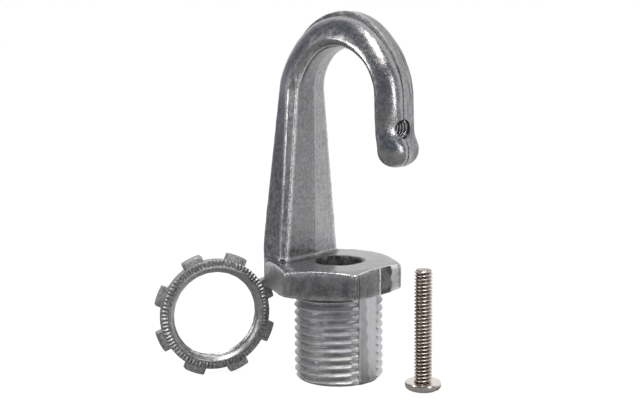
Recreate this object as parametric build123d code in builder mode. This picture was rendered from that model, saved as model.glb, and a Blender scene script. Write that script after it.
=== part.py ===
"""Ceiling hook with a threaded hollow nipple, its locknut and its closing screw.

The hook is one die casting: a hollow nipple, a hexagonal flange, a tapering stem and a
bend that ends in an arm with a tapped cross hole. The locknut and the screw are shown
taken off, standing beside the casting on one level surface.

Millimetres. The origin is the centre of the nipple's free end. +Z runs along the nipple
towards the bend, +X from the stem towards the arm, and Y across the hook's thickness.
"""

import os
from math import asin, cos, degrees, radians, sin, sqrt, tan

from build123d import *

# Nipple: a half inch straight pipe thread, cast with a flat along each parting line
nipple_diameter = 20.6
nipple_length = 20.5
nipple_across_flats = 19.2
nipple_end_chamfer = 1.0
wire_bore_diameter = 11.2

# Flange: a hexagon whose centre lies a little towards the stem
flange_across_flats = 28.2
flange_thickness = 6.7
flange_offset = -1.9
flange_corner_radius = 0.9
flange_top_cone_diameter = 28.6
flange_top_cone_slope = 12.0
flange_under_chamfer = 0.4

# Stem: flat inside, drafted each way from the parting line, narrowing upwards
stem_inner_x = -7.1
stem_base_half_width = 9.4
stem_inner_draft = 0.8
stem_base_flat = 1.8
stem_top_flat = 3.0
stem_edge_radius = 0.35
stem_foot_fillet = 0.9
stem_depth_at_base = 9.5
stem_depth_at_top = 7.9
stem_back_half_width_at_base = 8.9

# Bend and arm
throat_radius = 10.05
throat_centre_z = 66.2
bar_half_width = 4.8
bar_back_half_width = 3.1
bar_inner_draft = 0.4
arm_depth = 5.7
bend_side_flat = 2.0
bend_inner_radius = 1.4
bend_outer_radius = 2.0
# The bar at angles round the bend, from the stem at 180 to the arm at 0: its depth, how far
# the half of the spine behind the parting line stands proud of the front half, and how far
# the inner face stands inside the throat's circle
bend_shape = {
    180: (stem_depth_at_top, 0.15, 0.0),
    165: (7.5, 0.3, 0.0),
    150: (7.4, 0.6, 0.0),
    130: (7.3, 1.0, 0.1),
    110: (7.2, 1.1, 0.3),
    90: (7.1, 1.1, 0.6),
    70: (6.7, 0.85, 0.8),
    50: (6.0, 0.6, 0.8),
    30: (5.6, 0.4, 0.5),
    15: (5.6, 0.25, 0.3),
    0: (arm_depth, 0.15, 0.0),
}
# The stem's crisp edges turn into the bend's round ones between these angles
bend_rounding_starts = 180
bend_rounding_ends = 140

# Tip: flares outwards below the tapped hole and is rounded off
tip_z = 50.3
tip_flare = 0.4
tip_swell = 0.7
tip_flare_starts = 58.0
tip_flare_ends = 54.0
tip_round = 2.6
tip_side_round = 3.0
arm_lean = 0.5

# Half of the spine that stands proud
arm_step = 0.15
mould_step_half_width = 3.7
mould_step_depth = 2.0

# Closing screw: number 8, 32 threads to the inch, one inch long, pan head
screw_diameter = 4.17
screw_length = 25.4
screw_head_diameter = 8.1
screw_head_height = 2.0
screw_head_crown_diameter = 3.6
screw_head_rim_height = 1.2
screw_tip_chamfer = 0.4
screw_slot_width = 1.1
screw_slot_depth = 1.1
screw_hole_clearance = 0.1
screw_hole_z = 58.4
screw_place = (22.1, 3.0)

# Locknut: eight lugs round a ring with a serrated face
locknut_body_diameter = 26.0
locknut_lug_diameter = 29.1
locknut_lug_width = 4.8
locknut_lug_count = 8
locknut_thickness = 2.6
locknut_bore_diameter = 19.7
locknut_mouth_diameter = 21.9
locknut_mouth_depth = 0.7
locknut_lug_setback = 0.35
locknut_serration_count = 72
locknut_serration_depth = 0.3
locknut_gullet_width = 0.55
# It stands on two lugs, a lug's edge this close to the flange's side
locknut_clearance = 0.4
locknut_front_y = -17.5
locknut_facing = -28.5

# Sizes that follow from the ones above
flange_top = nipple_length + flange_thickness
throat_centre_x = stem_inner_x + throat_radius
arm_inner_x = throat_centre_x + throat_radius
flange_corner_reach = flange_across_flats / 2 / cos(radians(30))
screw_hole_diameter = screw_diameter + screw_hole_clearance
# How far the shapes that trim the flange reach past it
trim_margin = 4.0


def bar_section(plane, depth, half_width, back_half_width, draft, flat, radii, rounded=(0.0, 0.0)):
    """Sketch one cross section of the bar, from its inner face outwards along the plane's X.

    radii are those of the inner edge, of the side's edge and of the outer edge. rounded
    is how far a rounded tip draws the outline in, along the depth and along the width.
    """
    inside = rounded[0]
    outside = depth - rounded[0]
    room = (outside - inside) / depth
    width = half_width - rounded[1]
    back_width = width - (half_width - back_half_width) * room
    side_start = inside + draft * room
    side_end = side_start + flat * room
    points = [
        (inside, 0),
        (side_start, width),
        (side_end, width),
        (outside, back_width),
        (outside, -back_width),
        (side_end, -width),
        (side_start, -width),
    ]
    inner_edge, side_edge, outer_edge = (radius * room for radius in radii)
    edge_radii = [0, inner_edge, side_edge, outer_edge, outer_edge, side_edge, inner_edge]
    with BuildSketch(plane) as section:
        with BuildLine():
            FilletPolyline(*points, radius=edge_radii, close=True)
        make_face()
    return section.sketch


def step_section(plane, depth, step, rounded):
    """Sketch the half of the spine that stands proud, on the far side of the parting line."""
    outside = depth + step - rounded[0]
    inside = outside - step - mould_step_depth
    width = mould_step_half_width - rounded[1]
    with BuildSketch(plane) as section:
        with BuildLine():
            FilletPolyline(
                (inside, 0),
                (outside, 0),
                (outside, -width),
                (inside, -width),
                radius=[0, step / 4, step, 0],
                close=True,
            )
        make_face()
    return section.sketch


def drawn_in(height, radius):
    """How far a rounding of this radius draws in an outline at a height above its end."""
    if height >= radius:
        return 0.0
    return radius - sqrt(radius**2 - (radius - height) ** 2)


def ease(value, start, end):
    """Go smoothly from 0 at start to 1 at end."""
    share = min(max((value - start) / (end - start), 0.0), 1.0)
    return share * share * (3 - 2 * share)


def bend_plane(angle, fill):
    """Plane across the bend, its X pointing outwards from the inner face.

    angle is 180 at the stem and 0 at the arm, and fill is how far the inner face stands
    inside the throat's circle.
    """
    outwards = (cos(radians(angle)), 0, sin(radians(angle)))
    along = (sin(radians(angle)), 0, -cos(radians(angle)))
    inner_radius = throat_radius - fill
    origin = (
        throat_centre_x + inner_radius * outwards[0],
        0,
        throat_centre_z + inner_radius * outwards[2],
    )
    return Plane(origin=origin, x_dir=outwards, z_dir=along)


def tip_swell_at(height):
    """How much deeper the arm is near its tip."""
    return tip_swell * ease(height, tip_flare_starts, tip_flare_ends)


def arm_plane(height):
    """Plane across the arm at a height above the nipple's end."""
    fall = (throat_centre_z - height) / (throat_centre_z - tip_z)
    flare = tip_flare * ease(height, tip_flare_starts, tip_flare_ends)
    inner_x = arm_inner_x + arm_lean * fall + flare
    return Plane(origin=(inner_x, 0, height), x_dir=(1, 0, 0), z_dir=(0, 0, -1))


def stem_plane(height):
    """Plane across the stem at a height above the nipple's end."""
    return Plane(origin=(stem_inner_x, 0, height), x_dir=(-1, 0, 0), z_dir=(0, 0, 1))


stem_radii = (stem_edge_radius, 0, stem_edge_radius)
bend_start_radii = (stem_edge_radius, stem_edge_radius, stem_edge_radius)
bend_radii = (bend_inner_radius, bend_outer_radius, bend_outer_radius)
arm_heights = [62.5, 60.0, 58.5, 57.0, 55.7, 54.5, 53.5]
tip_heights = [3.0, 2.4, 1.8, 1.2, 0.7, 0.3, 0.08]


def blend(first, second, share):
    """Go from one set of numbers to another."""
    return [a + (b - a) * share for a, b in zip(first, second)]


# Stations along the bar: a plane, the depth, the inner draft, the side's flat, the radii,
# how proud the far half of the spine is and how far the rounded tip draws the outline in
bend_stations = []
for bend_angle, (bend_depth, bend_step, bend_fill) in bend_shape.items():
    rounding = ease(bend_angle, bend_rounding_starts, bend_rounding_ends)
    bend_stations.append(
        (
            bend_plane(bend_angle, bend_fill),
            bend_depth,
            stem_inner_draft + (bar_inner_draft - stem_inner_draft) * rounding,
            stem_top_flat + (bend_side_flat - stem_top_flat) * rounding,
            blend(bend_start_radii, bend_radii, rounding),
            bend_step,
            (0.0, 0.0),
        )
    )
arm_stations = []
for arm_height in arm_heights + [tip_z + height for height in tip_heights]:
    above_tip = arm_height - tip_z
    arm_stations.append(
        (
            arm_plane(arm_height),
            arm_depth + tip_swell_at(arm_height),
            bar_inner_draft,
            bend_side_flat,
            bend_radii,
            arm_step,
            (drawn_in(above_tip, tip_round), drawn_in(above_tip, tip_side_round)),
        )
    )
bar_stations = bend_stations + arm_stations[: len(arm_heights) + 1]
tip_stations = arm_stations[len(arm_heights) :]


def bar_loft_sections(stations):
    """Sections of the bar at a run of stations."""
    return [
        bar_section(plane, depth, bar_half_width, bar_back_half_width, draft, flat, radii, rounded)
        for plane, depth, draft, flat, radii, _, rounded in stations
    ]


def step_loft_sections(stations):
    """Sections of the proud half of the spine at a run of stations."""
    return [
        step_section(plane, depth, step, rounded)
        for plane, depth, _, _, _, step, rounded in stations
    ]


# The bend and the arm are one loft through the stations, and the rounded tip another
with BuildPart() as bar:
    loft(bar_loft_sections(bar_stations))
    loft(bar_loft_sections(tip_stations))

# The proud half of the spine follows the same stations
with BuildPart() as spine_step:
    loft(step_loft_sections(bar_stations[2:]))
    loft(step_loft_sections(tip_stations[:-2]))

# What the flange's conical top takes off, in front of the stem only
cone_start = flange_top_cone_diameter / 2
cone_end = flange_corner_reach + trim_margin
cone_rise = (cone_end - cone_start) * tan(radians(flange_top_cone_slope))
with BuildPart() as flange_cone:
    with BuildSketch(Plane(origin=(flange_offset, 0, 0), x_dir=(1, 0, 0), z_dir=(0, -1, 0))):
        with BuildLine():
            Polyline(
                (cone_start, flange_top),
                (cone_end, flange_top),
                (cone_end, flange_top - cone_rise),
                close=True,
            )
        make_face()
    revolve(axis=Axis((flange_offset, 0, 0), (0, 0, 1)))
    with BuildSketch(Plane.XY.offset(flange_top - cone_rise)):
        with Locations((stem_inner_x + flange_corner_reach, 0)):
            Rectangle(2 * flange_corner_reach, 3 * flange_corner_reach)
    extrude(amount=cone_rise, mode=Mode.INTERSECT)

# The casting
with BuildPart() as hook:
    # Stem on a disc as thick as the flange, with a small fillet round its foot
    stem_foot = bar_section(
        stem_plane(nipple_length + flange_thickness / 2),
        stem_depth_at_base,
        stem_base_half_width,
        stem_back_half_width_at_base,
        stem_inner_draft,
        stem_base_flat,
        stem_radii,
    )
    stem_head = bar_section(
        stem_plane(throat_centre_z),
        stem_depth_at_top,
        bar_half_width,
        bar_back_half_width,
        stem_inner_draft,
        stem_top_flat,
        stem_radii,
    )
    loft([stem_foot, stem_head], ruled=True)
    with BuildSketch(Plane.XY.offset(nipple_length)):
        with Locations((flange_offset, 0)):
            Circle(flange_corner_reach + trim_margin)
    extrude(amount=flange_thickness)
    foot_edges = edges(Select.NEW).filter_by_position(Axis.Z, flange_top, flange_top)
    foot_edges = [edge for edge in foot_edges if edge.geom_type != GeomType.CIRCLE or edge.radius < flange_corner_reach]
    fillet(foot_edges, stem_foot_fillet)
    # The stem and its foot are trimmed to the flange's hexagon
    with BuildSketch(Plane.XY.offset(nipple_length)):
        with Locations((flange_offset, 0)):
            RegularPolygon(flange_across_flats / 2, 6, major_radius=False, rotation=30)
        fillet(vertices(), flange_corner_radius)
    extrude(amount=throat_centre_z - nipple_length, mode=Mode.INTERSECT)
    add(flange_cone.part, mode=Mode.SUBTRACT)
    chamfer(edges().filter_by_position(Axis.Z, nipple_length, nipple_length), flange_under_chamfer)
    add(bar.part)
    add(spine_step.part)
    # Nipple, cut flat along both parting lines
    with BuildSketch(Plane.XY):
        Circle(nipple_diameter / 2)
    extrude(amount=nipple_length)
    chamfer(edges().filter_by_position(Axis.Z, 0, 0), nipple_end_chamfer)
    with BuildSketch(Plane.XY):
        for side in (-1, 1):
            with Locations((side * (nipple_across_flats + nipple_diameter) / 2, 0)):
                Rectangle(nipple_diameter, nipple_diameter)
    extrude(amount=nipple_length, mode=Mode.SUBTRACT)
    # Wire bore
    with BuildSketch(Plane.XY):
        Circle(wire_bore_diameter / 2)
    extrude(amount=flange_top, mode=Mode.SUBTRACT)
    # Cross hole for the closing screw
    with BuildSketch(Plane(origin=(arm_inner_x - arm_depth, 0, screw_hole_z), z_dir=(1, 0, 0))):
        Circle(screw_hole_diameter / 2)
    extrude(amount=4 * arm_depth, mode=Mode.SUBTRACT)

hook.part.label = "hook"

# The locknut stands on edge on two of its lugs, its serrated face to the front
lug_step = 360 / locknut_lug_count
lug_half_angle = degrees(asin(locknut_lug_width / locknut_lug_diameter))
lug_corner_reach = locknut_lug_diameter / 2
locknut_height = lug_corner_reach * cos(radians(lug_step / 2 - lug_half_angle))
facing = (cos(radians(locknut_facing)), sin(radians(locknut_facing)), 0)
# Where the circle through the lugs' tips passes the height of the flange's underside
lug_reach_at_flange = sqrt(lug_corner_reach**2 - (nipple_length - locknut_height) ** 2)
flange_side_x = flange_offset - flange_across_flats / 2
lug_edge_x = flange_side_x - locknut_clearance
locknut_front_x = lug_edge_x + locknut_lug_setback * facing[0] + lug_reach_at_flange * facing[1]
locknut_front = Plane(
    origin=(locknut_front_x, locknut_front_y, locknut_height),
    x_dir=(-facing[1], facing[0], 0),
    z_dir=facing,
)
with BuildPart() as locknut:
    with BuildSketch(locknut_front.offset(-locknut_thickness)):
        Circle(locknut_body_diameter / 2)
    extrude(amount=locknut_thickness)
    # Lugs, a little lower than the serrated face
    with BuildSketch(locknut_front.offset(-locknut_thickness)):
        with PolarLocations(0, locknut_lug_count, start_angle=lug_step / 2):
            with Locations((locknut_lug_diameter / 4, 0)):
                Rectangle(locknut_lug_diameter / 2, locknut_lug_width)
        Circle(locknut_lug_diameter / 2, mode=Mode.INTERSECT)
    extrude(amount=locknut_thickness - locknut_lug_setback)
    # Serrations across the front face
    with BuildSketch(locknut_front.offset(-locknut_serration_depth)):
        with PolarLocations(locknut_body_diameter / 4, locknut_serration_count):
            Rectangle(locknut_body_diameter / 2, locknut_gullet_width)
    extrude(amount=locknut_serration_depth, mode=Mode.SUBTRACT)
    # Bore with a countersunk mouth
    with BuildSketch(locknut_front.offset(-locknut_thickness)):
        Circle(locknut_bore_diameter / 2)
    extrude(amount=locknut_thickness, mode=Mode.SUBTRACT)
    with BuildSketch(locknut_front):
        Circle(locknut_mouth_diameter / 2)
    with BuildSketch(locknut_front.offset(-locknut_mouth_depth)):
        Circle(locknut_bore_diameter / 2)
    loft(mode=Mode.SUBTRACT)
locknut.part.label = "locknut"

# The closing screw stands on its head
with BuildPart() as closing_screw:
    with BuildSketch(Plane(origin=(*screw_place, 0), x_dir=(1, 0, 0), z_dir=(0, -1, 0))):
        with BuildLine():
            crown = Line((0, 0), (screw_head_crown_diameter / 2, 0))
            rim = TangentArc(crown @ 1, (screw_head_diameter / 2, screw_head_rim_height), tangent=crown % 1)
            Polyline(
                rim @ 1,
                (screw_head_diameter / 2, screw_head_height),
                (screw_diameter / 2, screw_head_height),
                (screw_diameter / 2, screw_head_height + screw_length - screw_tip_chamfer),
                (screw_diameter / 2 - screw_tip_chamfer, screw_head_height + screw_length),
                (0, screw_head_height + screw_length),
                (0, 0),
            )
        make_face()
    revolve(axis=Axis((*screw_place, 0), (0, 0, 1)))
    # Straight slot in the head
    with BuildSketch(Plane.XY):
        with Locations(screw_place):
            Rectangle(screw_head_diameter, screw_slot_width)
    extrude(amount=screw_slot_depth, mode=Mode.SUBTRACT)
closing_screw.part.label = "closing_screw"

os.makedirs("parts", exist_ok=True)
export_step(hook.part, "parts/hook.step")
export_step(locknut.part, "parts/locknut.step")
export_step(closing_screw.part, "parts/closing_screw.step")
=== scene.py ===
"""Studio scene of a cast ceiling hook with its locknut and its closing screw beside it.

Sizes inside the classes are millimetres, apart from the lamps', and meshes are written in
metres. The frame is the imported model's: the origin is the centre of the nipple's free end,
+Z runs along the nipple towards the bend, +X from the stem towards the arm, and Y across
the hook.
"""

from __future__ import annotations

import logging
import math
from collections.abc import Callable
from dataclasses import dataclass, field
from enum import Enum, IntEnum

import bmesh
import bpy
from mathutils import Matrix, Vector, noise

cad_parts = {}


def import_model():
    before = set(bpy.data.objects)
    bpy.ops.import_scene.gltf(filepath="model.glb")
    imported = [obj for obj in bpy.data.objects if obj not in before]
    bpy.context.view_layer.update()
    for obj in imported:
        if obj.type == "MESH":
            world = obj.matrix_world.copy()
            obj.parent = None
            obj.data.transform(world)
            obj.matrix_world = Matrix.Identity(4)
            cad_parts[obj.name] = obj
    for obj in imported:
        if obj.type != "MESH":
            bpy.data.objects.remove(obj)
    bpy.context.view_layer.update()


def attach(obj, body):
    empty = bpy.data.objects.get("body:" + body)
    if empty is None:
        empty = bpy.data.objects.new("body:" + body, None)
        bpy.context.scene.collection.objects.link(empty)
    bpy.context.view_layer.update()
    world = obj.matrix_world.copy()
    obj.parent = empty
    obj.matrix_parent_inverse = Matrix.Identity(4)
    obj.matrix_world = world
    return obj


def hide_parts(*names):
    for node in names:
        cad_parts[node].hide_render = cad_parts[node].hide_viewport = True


MM = 0.001
ROOT_BODY = "root"
# Points closer than this many millimetres are one point
DOUBLES = 0.002
log = logging.getLogger("ceiling_hook")

Point2 = tuple[float, float]
Point3 = tuple[float, float, float]
Colour = tuple[float, float, float]


class Slot(Enum):
    """The record's material slots."""

    CASTING = "die_cast"
    LOCKNUT = "locknut_metal"
    SCREW = "screw_metal"


def ease(value: float, start: float, end: float) -> float:
    """Go smoothly from 0 to 1.

    Args:
        value: Where to read it.
        start: Where it is still 0.
        end: Where it is 1.

    Returns:
        The share.
    """
    share = min(max((value - start) / (end - start), 0.0), 1.0)
    return share * share * (3.0 - 2.0 * share)


def mix(first: float, second: float, share: float) -> float:
    """Go straight from the first value to the second."""
    return first + (second - first) * share


def quarter_round(radius: float, rise: float) -> float:
    """How far a quarter round stands in from its full width.

    Args:
        radius: The round's radius.
        rise: How far from the round's end, no less than 0.

    Returns:
        The radius at the end, and 0 from one radius on.
    """
    if rise >= radius:
        return 0.0
    return radius - math.sqrt(max(radius**2 - (radius - rise) ** 2, 0.0))


def smooth_between(table: list[tuple[float, float]], at: float) -> float:
    """Read a table of (position, value) rows along a smooth curve.

    Args:
        table: Rows in rising order of position.
        at: Where to read it.

    Returns:
        The value there, on a cubic through the rows.
    """
    if at <= table[0][0]:
        return table[0][1]
    if at >= table[-1][0]:
        return table[-1][1]
    row = max(i for i in range(len(table) - 1) if table[i][0] <= at)

    def slope(index: int) -> float:
        """Slope of the curve at a row."""
        low, high = max(index - 1, 0), min(index + 1, len(table) - 1)
        return (table[high][1] - table[low][1]) / (table[high][0] - table[low][0])

    (x0, y0), (x1, y1) = table[row], table[row + 1]
    span = x1 - x0
    t = (at - x0) / span
    return (
        (2 * t**3 - 3 * t**2 + 1) * y0
        + (t**3 - 2 * t**2 + t) * span * slope(row)
        + (-2 * t**3 + 3 * t**2) * y1
        + (t**3 - t**2) * span * slope(row + 1)
    )


def grain(point: Vector, size: float, depth: float) -> float:
    """Unevenness of a cast surface at a point.

    Args:
        point: Place in millimetres.
        size: Width of the bumps in millimetres.
        depth: Most that the surface moves, in millimetres.

    Returns:
        How far the surface moves outwards there.
    """
    return depth * noise.fractal(point / size, 1.0, 2.0, 3)


def mesh_piece(name: str, bm: bmesh.types.BMesh, material: bpy.types.Material) -> bpy.types.Object:
    """Write a mesh in millimetres to a piece in metres.

    Args:
        name: The piece's name.
        bm: Its mesh, freed here.
        material: Its finish.

    Returns:
        The piece, at the origin.
    """
    mesh = bpy.data.meshes.new(name)
    bmesh.ops.scale(bm, vec=(MM, MM, MM), verts=bm.verts)
    bm.to_mesh(mesh)
    bm.free()
    mesh.materials.append(material)
    piece = bpy.data.objects.new(name, mesh)
    bpy.context.scene.collection.objects.link(piece)
    return piece


def smooth_by_angle(piece: bpy.types.Object, degrees: float) -> None:
    """Shade a piece smooth, with its sharp edges left crisp.

    Args:
        piece: The piece.
        degrees: The angle from which an edge is sharp.
    """
    mesh = piece.data
    mesh.polygons.foreach_set("use_smooth", [True] * len(mesh.polygons))
    bm = bmesh.new()
    bm.from_mesh(mesh)
    limit = math.radians(degrees)
    for edge in bm.edges:
        edge.smooth = not (len(edge.link_faces) == 2 and edge.calc_face_angle(0.0) > limit)
    bm.to_mesh(mesh)
    bm.free()


def roughen(piece: bpy.types.Object, size: float, depth: float) -> None:
    """Make a piece as uneven as a casting is.

    Args:
        piece: The piece, in metres.
        size: Width of the bumps in millimetres.
        depth: Most that the surface moves, in millimetres.
    """
    bm = bmesh.new()
    bm.from_mesh(piece.data)
    bm.normal_update()
    for vertex in bm.verts:
        vertex.co += vertex.normal * grain(vertex.co / MM, size, depth) * MM
    bm.to_mesh(piece.data)
    bm.free()


def skin(bm: bmesh.types.BMesh, loops: list[list[bmesh.types.BMVert]], closed: bool = False) -> None:
    """Join closed loops of vertices with quads.

    Args:
        bm: The mesh that holds the vertices.
        loops: Loops with the same number of vertices each.
        closed: Whether the last loop joins the first.
    """
    pairs = list(zip(loops, loops[1:]))
    if closed:
        pairs.append((loops[-1], loops[0]))
    for lower, upper in pairs:
        count = len(lower)
        for i in range(count):
            j = (i + 1) % count
            bm.faces.new((lower[i], lower[j], upper[j], upper[i]))


def close_loop(bm: bmesh.types.BMesh, loop: list[bmesh.types.BMVert], middle: Vector) -> None:
    """Close a loop with a fan round a point.

    Args:
        bm: The mesh that holds the loop.
        loop: Its vertices in order.
        middle: The fan's middle.
    """
    centre = bm.verts.new(middle)
    for i, vertex in enumerate(loop):
        bm.faces.new((vertex, loop[(i + 1) % len(loop)], centre))


def open_edge(bm: bmesh.types.BMesh, level: float) -> list[bmesh.types.BMVert]:
    """Find a sleeve's open edge.

    Args:
        bm: The mesh, round the Z axis.
        level: The edge's height in millimetres.

    Returns:
        Its vertices in order round the axis.
    """
    edge = [vertex for vertex in bm.verts if vertex.is_boundary and abs(vertex.co.z - level) < 0.01]
    edge.sort(key=lambda vertex: math.atan2(vertex.co.y, vertex.co.x))
    return edge


def round_corners(points: list[Point2], radii: list[float], arc_points: int, run_points: int) -> list[Point2]:
    """Sample a closed outline whose corners are rounded.

    Args:
        points: The outline's corners.
        radii: The radius of each corner.
        arc_points: Points on each corner's arc.
        run_points: Points between one arc and the next.

    Returns:
        The same number of points for any outline with as many corners.
    """
    count = len(points)
    arcs: list[list[Point2]] = []
    for i, radius in enumerate(radii):
        here = Vector(points[i])
        back = (Vector(points[i - 1]) - here).normalized()
        ahead = (Vector(points[(i + 1) % count]) - here).normalized()
        turn = math.pi - math.acos(max(-1.0, min(1.0, back.dot(ahead))))
        reach = max(radius, 0.02) * math.tan(turn / 2)
        start, end = here + back * reach, here + ahead * reach
        arc = []
        for k in range(arc_points):
            t = k / (arc_points - 1)
            # A conic through the arc's ends, close to the circle
            weight = math.cos(turn / 2)
            share = [(1 - t) ** 2, 2 * t * (1 - t) * weight, t**2]
            total = sum(share)
            point = (start * share[0] + here * share[1] + end * share[2]) / total
            arc.append((point.x, point.y))
        arcs.append(arc)
    outline: list[Point2] = []
    for i, arc in enumerate(arcs):
        outline += arc
        following = arcs[(i + 1) % count][0]
        for k in range(1, run_points + 1):
            t = k / (run_points + 1)
            outline.append((mix(arc[-1][0], following[0], t), mix(arc[-1][1], following[1], t)))
    return outline


@dataclass(frozen=True)
class Maths:
    """Writes sums as nodes of a tree."""

    tree: bpy.types.NodeTree

    def do(self, operation: str, *terms: object, clamp: bool = False) -> bpy.types.NodeSocket:
        """Add one maths node.

        Args:
            operation: The node's operation.
            terms: Sockets or numbers, in order.
            clamp: Whether the result stays within 0 and 1.

        Returns:
            The result's socket.
        """
        node = self.tree.nodes.new("ShaderNodeMath")
        node.operation = operation
        node.use_clamp = clamp
        for socket, term in zip(node.inputs, terms):
            if isinstance(term, bpy.types.NodeSocket):
                self.tree.links.new(term, socket)
            else:
                socket.default_value = term
        return node.outputs[0]


@dataclass(frozen=True)
class ThreadTree:
    """Geometry Nodes tree that winds a thread on a cylinder, with flats where they are wanted."""

    name: str = "thread"

    def build(self) -> bpy.types.GeometryNodeTree:
        """Make the tree, with its sizes as named inputs in metres and degrees.

        Returns:
            The tree.
        """
        tree = bpy.data.node_groups.new(self.name, "GeometryNodeTree")
        tree.interface.new_socket("Thread", in_out="OUTPUT", socket_type="NodeSocketGeometry")
        floats = {
            "Crest Radius": 0.01,
            "Depth": 0.0007,
            "Pitch": 0.0018,
            "Length": 0.02,
            "Turn Offset": 0.0,
            "Crest Roundness": 0.9,
            "End Chamfer": 0.0,
            "Top Chamfer": 0.0,
            "Flat Distance": 1.0,
            "Flat Near Reach": -1.0,
            "Flat Far Change": 0.0,
            "Relief Radius": 1.0,
            "Relief Start": 0.0,
            "Relief End": 0.0001,
        }
        for label, value in floats.items():
            socket = tree.interface.new_socket(label, in_out="INPUT", socket_type="NodeSocketFloat")
            socket.default_value = value
        for label, value in {"Points Around": 192, "Rows Per Turn": 12}.items():
            socket = tree.interface.new_socket(label, in_out="INPUT", socket_type="NodeSocketInt")
            socket.default_value = value
        tree.interface.new_socket("Finish", in_out="INPUT", socket_type="NodeSocketMaterial")
        self._wire(tree)
        return tree

    def _wire(self, tree: bpy.types.GeometryNodeTree) -> None:
        """Join up the tree's nodes.

        Args:
            tree: The tree, with its inputs set up.
        """
        nodes, links = tree.nodes, tree.links
        given = nodes.new("NodeGroupInput").outputs
        do = Maths(tree).do
        grid = nodes.new("GeometryNodeMeshGrid")
        grid.inputs["Size X"].default_value = 1.0
        grid.inputs["Size Y"].default_value = 1.0
        links.new(given["Points Around"], grid.inputs["Vertices X"])
        # One pitch more than the length, since each row climbs by a pitch as it goes round
        turns = do("CEIL", do("ADD", do("DIVIDE", given["Length"], given["Pitch"]), 1.0))
        steps = do("MULTIPLY", turns, given["Rows Per Turn"])
        links.new(do("ADD", steps, 1.0), grid.inputs["Vertices Y"])
        place = nodes.new("ShaderNodeSeparateXYZ")
        links.new(nodes.new("GeometryNodeInputPosition").outputs[0], place.inputs[0])
        turn = do("ADD", place.outputs["X"], 0.5)
        climbed = do("SUBTRACT", do("MULTIPLY", do("ADD", place.outputs["Y"], 0.5), turns), 1.0)
        along = do("MULTIPLY", do("ADD", climbed, turn), given["Pitch"])
        along = do("MINIMUM", do("MAXIMUM", along, 0.0), given["Length"])
        angle = do("MULTIPLY", turn, 2 * math.pi)
        phase = do("ADD", do("SUBTRACT", do("DIVIDE", along, given["Pitch"]), turn), given["Turn Offset"])
        ramp = do("PINGPONG", phase, 0.5)
        wave = do("MULTIPLY", ramp, 2.0)
        crest = do("POWER", do("SUBTRACT", 1.0, wave), given["Crest Roundness"])
        fall = do("MULTIPLY", do("SUBTRACT", 1.0, crest), given["Depth"])
        radius = do("SUBTRACT", given["Crest Radius"], fall)
        cosine = do("ABSOLUTE", do("COSINE", angle))
        # In front of each flat the crests are cut down to the relief radius
        off_flat = do("MULTIPLY", do("ARCCOSINE", do("MINIMUM", cosine, 1.0)), 180 / math.pi)
        far_side = do("GREATER_THAN", do("SINE", angle), 0.0)
        away = do("SUBTRACT", off_flat, given["Relief Start"])
        share = do("DIVIDE", away, do("SUBTRACT", given["Relief End"], given["Relief Start"]), clamp=True)
        share = do("MAXIMUM", share, far_side)
        lowered = do("MINIMUM", radius, given["Relief Radius"])
        radius = do("ADD", lowered, do("MULTIPLY", do("SUBTRACT", radius, lowered), share))
        flat = do("DIVIDE", given["Flat Distance"], do("MAXIMUM", cosine, 0.01))
        reach = do("ADD", given["Flat Near Reach"], do("MULTIPLY", far_side, given["Flat Far Change"]))
        on_flat = do("LESS_THAN", off_flat, reach)
        radius = do("ADD", radius, do("MULTIPLY", do("SUBTRACT", flat, radius), on_flat))
        low_end = do("ADD", do("SUBTRACT", given["Crest Radius"], given["End Chamfer"]), along)
        to_top = do("SUBTRACT", given["Length"], along)
        high_end = do("ADD", do("SUBTRACT", given["Crest Radius"], given["Top Chamfer"]), to_top)
        radius = do("MINIMUM", do("MINIMUM", radius, low_end), high_end)
        position = nodes.new("ShaderNodeCombineXYZ")
        links.new(do("MULTIPLY", radius, do("COSINE", angle)), position.inputs["X"])
        links.new(do("MULTIPLY", radius, do("SINE", angle)), position.inputs["Y"])
        links.new(along, position.inputs["Z"])
        wrap = nodes.new("GeometryNodeSetPosition")
        links.new(grid.outputs["Mesh"], wrap.inputs["Geometry"])
        links.new(position.outputs[0], wrap.inputs["Position"])
        merge = nodes.new("GeometryNodeMergeByDistance")
        merge.inputs["Distance"].default_value = 1e-6
        smooth = nodes.new("GeometryNodeSetShadeSmooth")
        realize = nodes.new("GeometryNodeRealizeInstances")
        paint = nodes.new("GeometryNodeSetMaterial")
        links.new(wrap.outputs["Geometry"], merge.inputs["Geometry"])
        links.new(merge.outputs["Geometry"], smooth.inputs[0])
        links.new(smooth.outputs[0], realize.inputs[0])
        links.new(realize.outputs[0], paint.inputs["Geometry"])
        links.new(given["Finish"], paint.inputs["Material"])
        links.new(paint.outputs[0], nodes.new("NodeGroupOutput").inputs[0])


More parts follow.
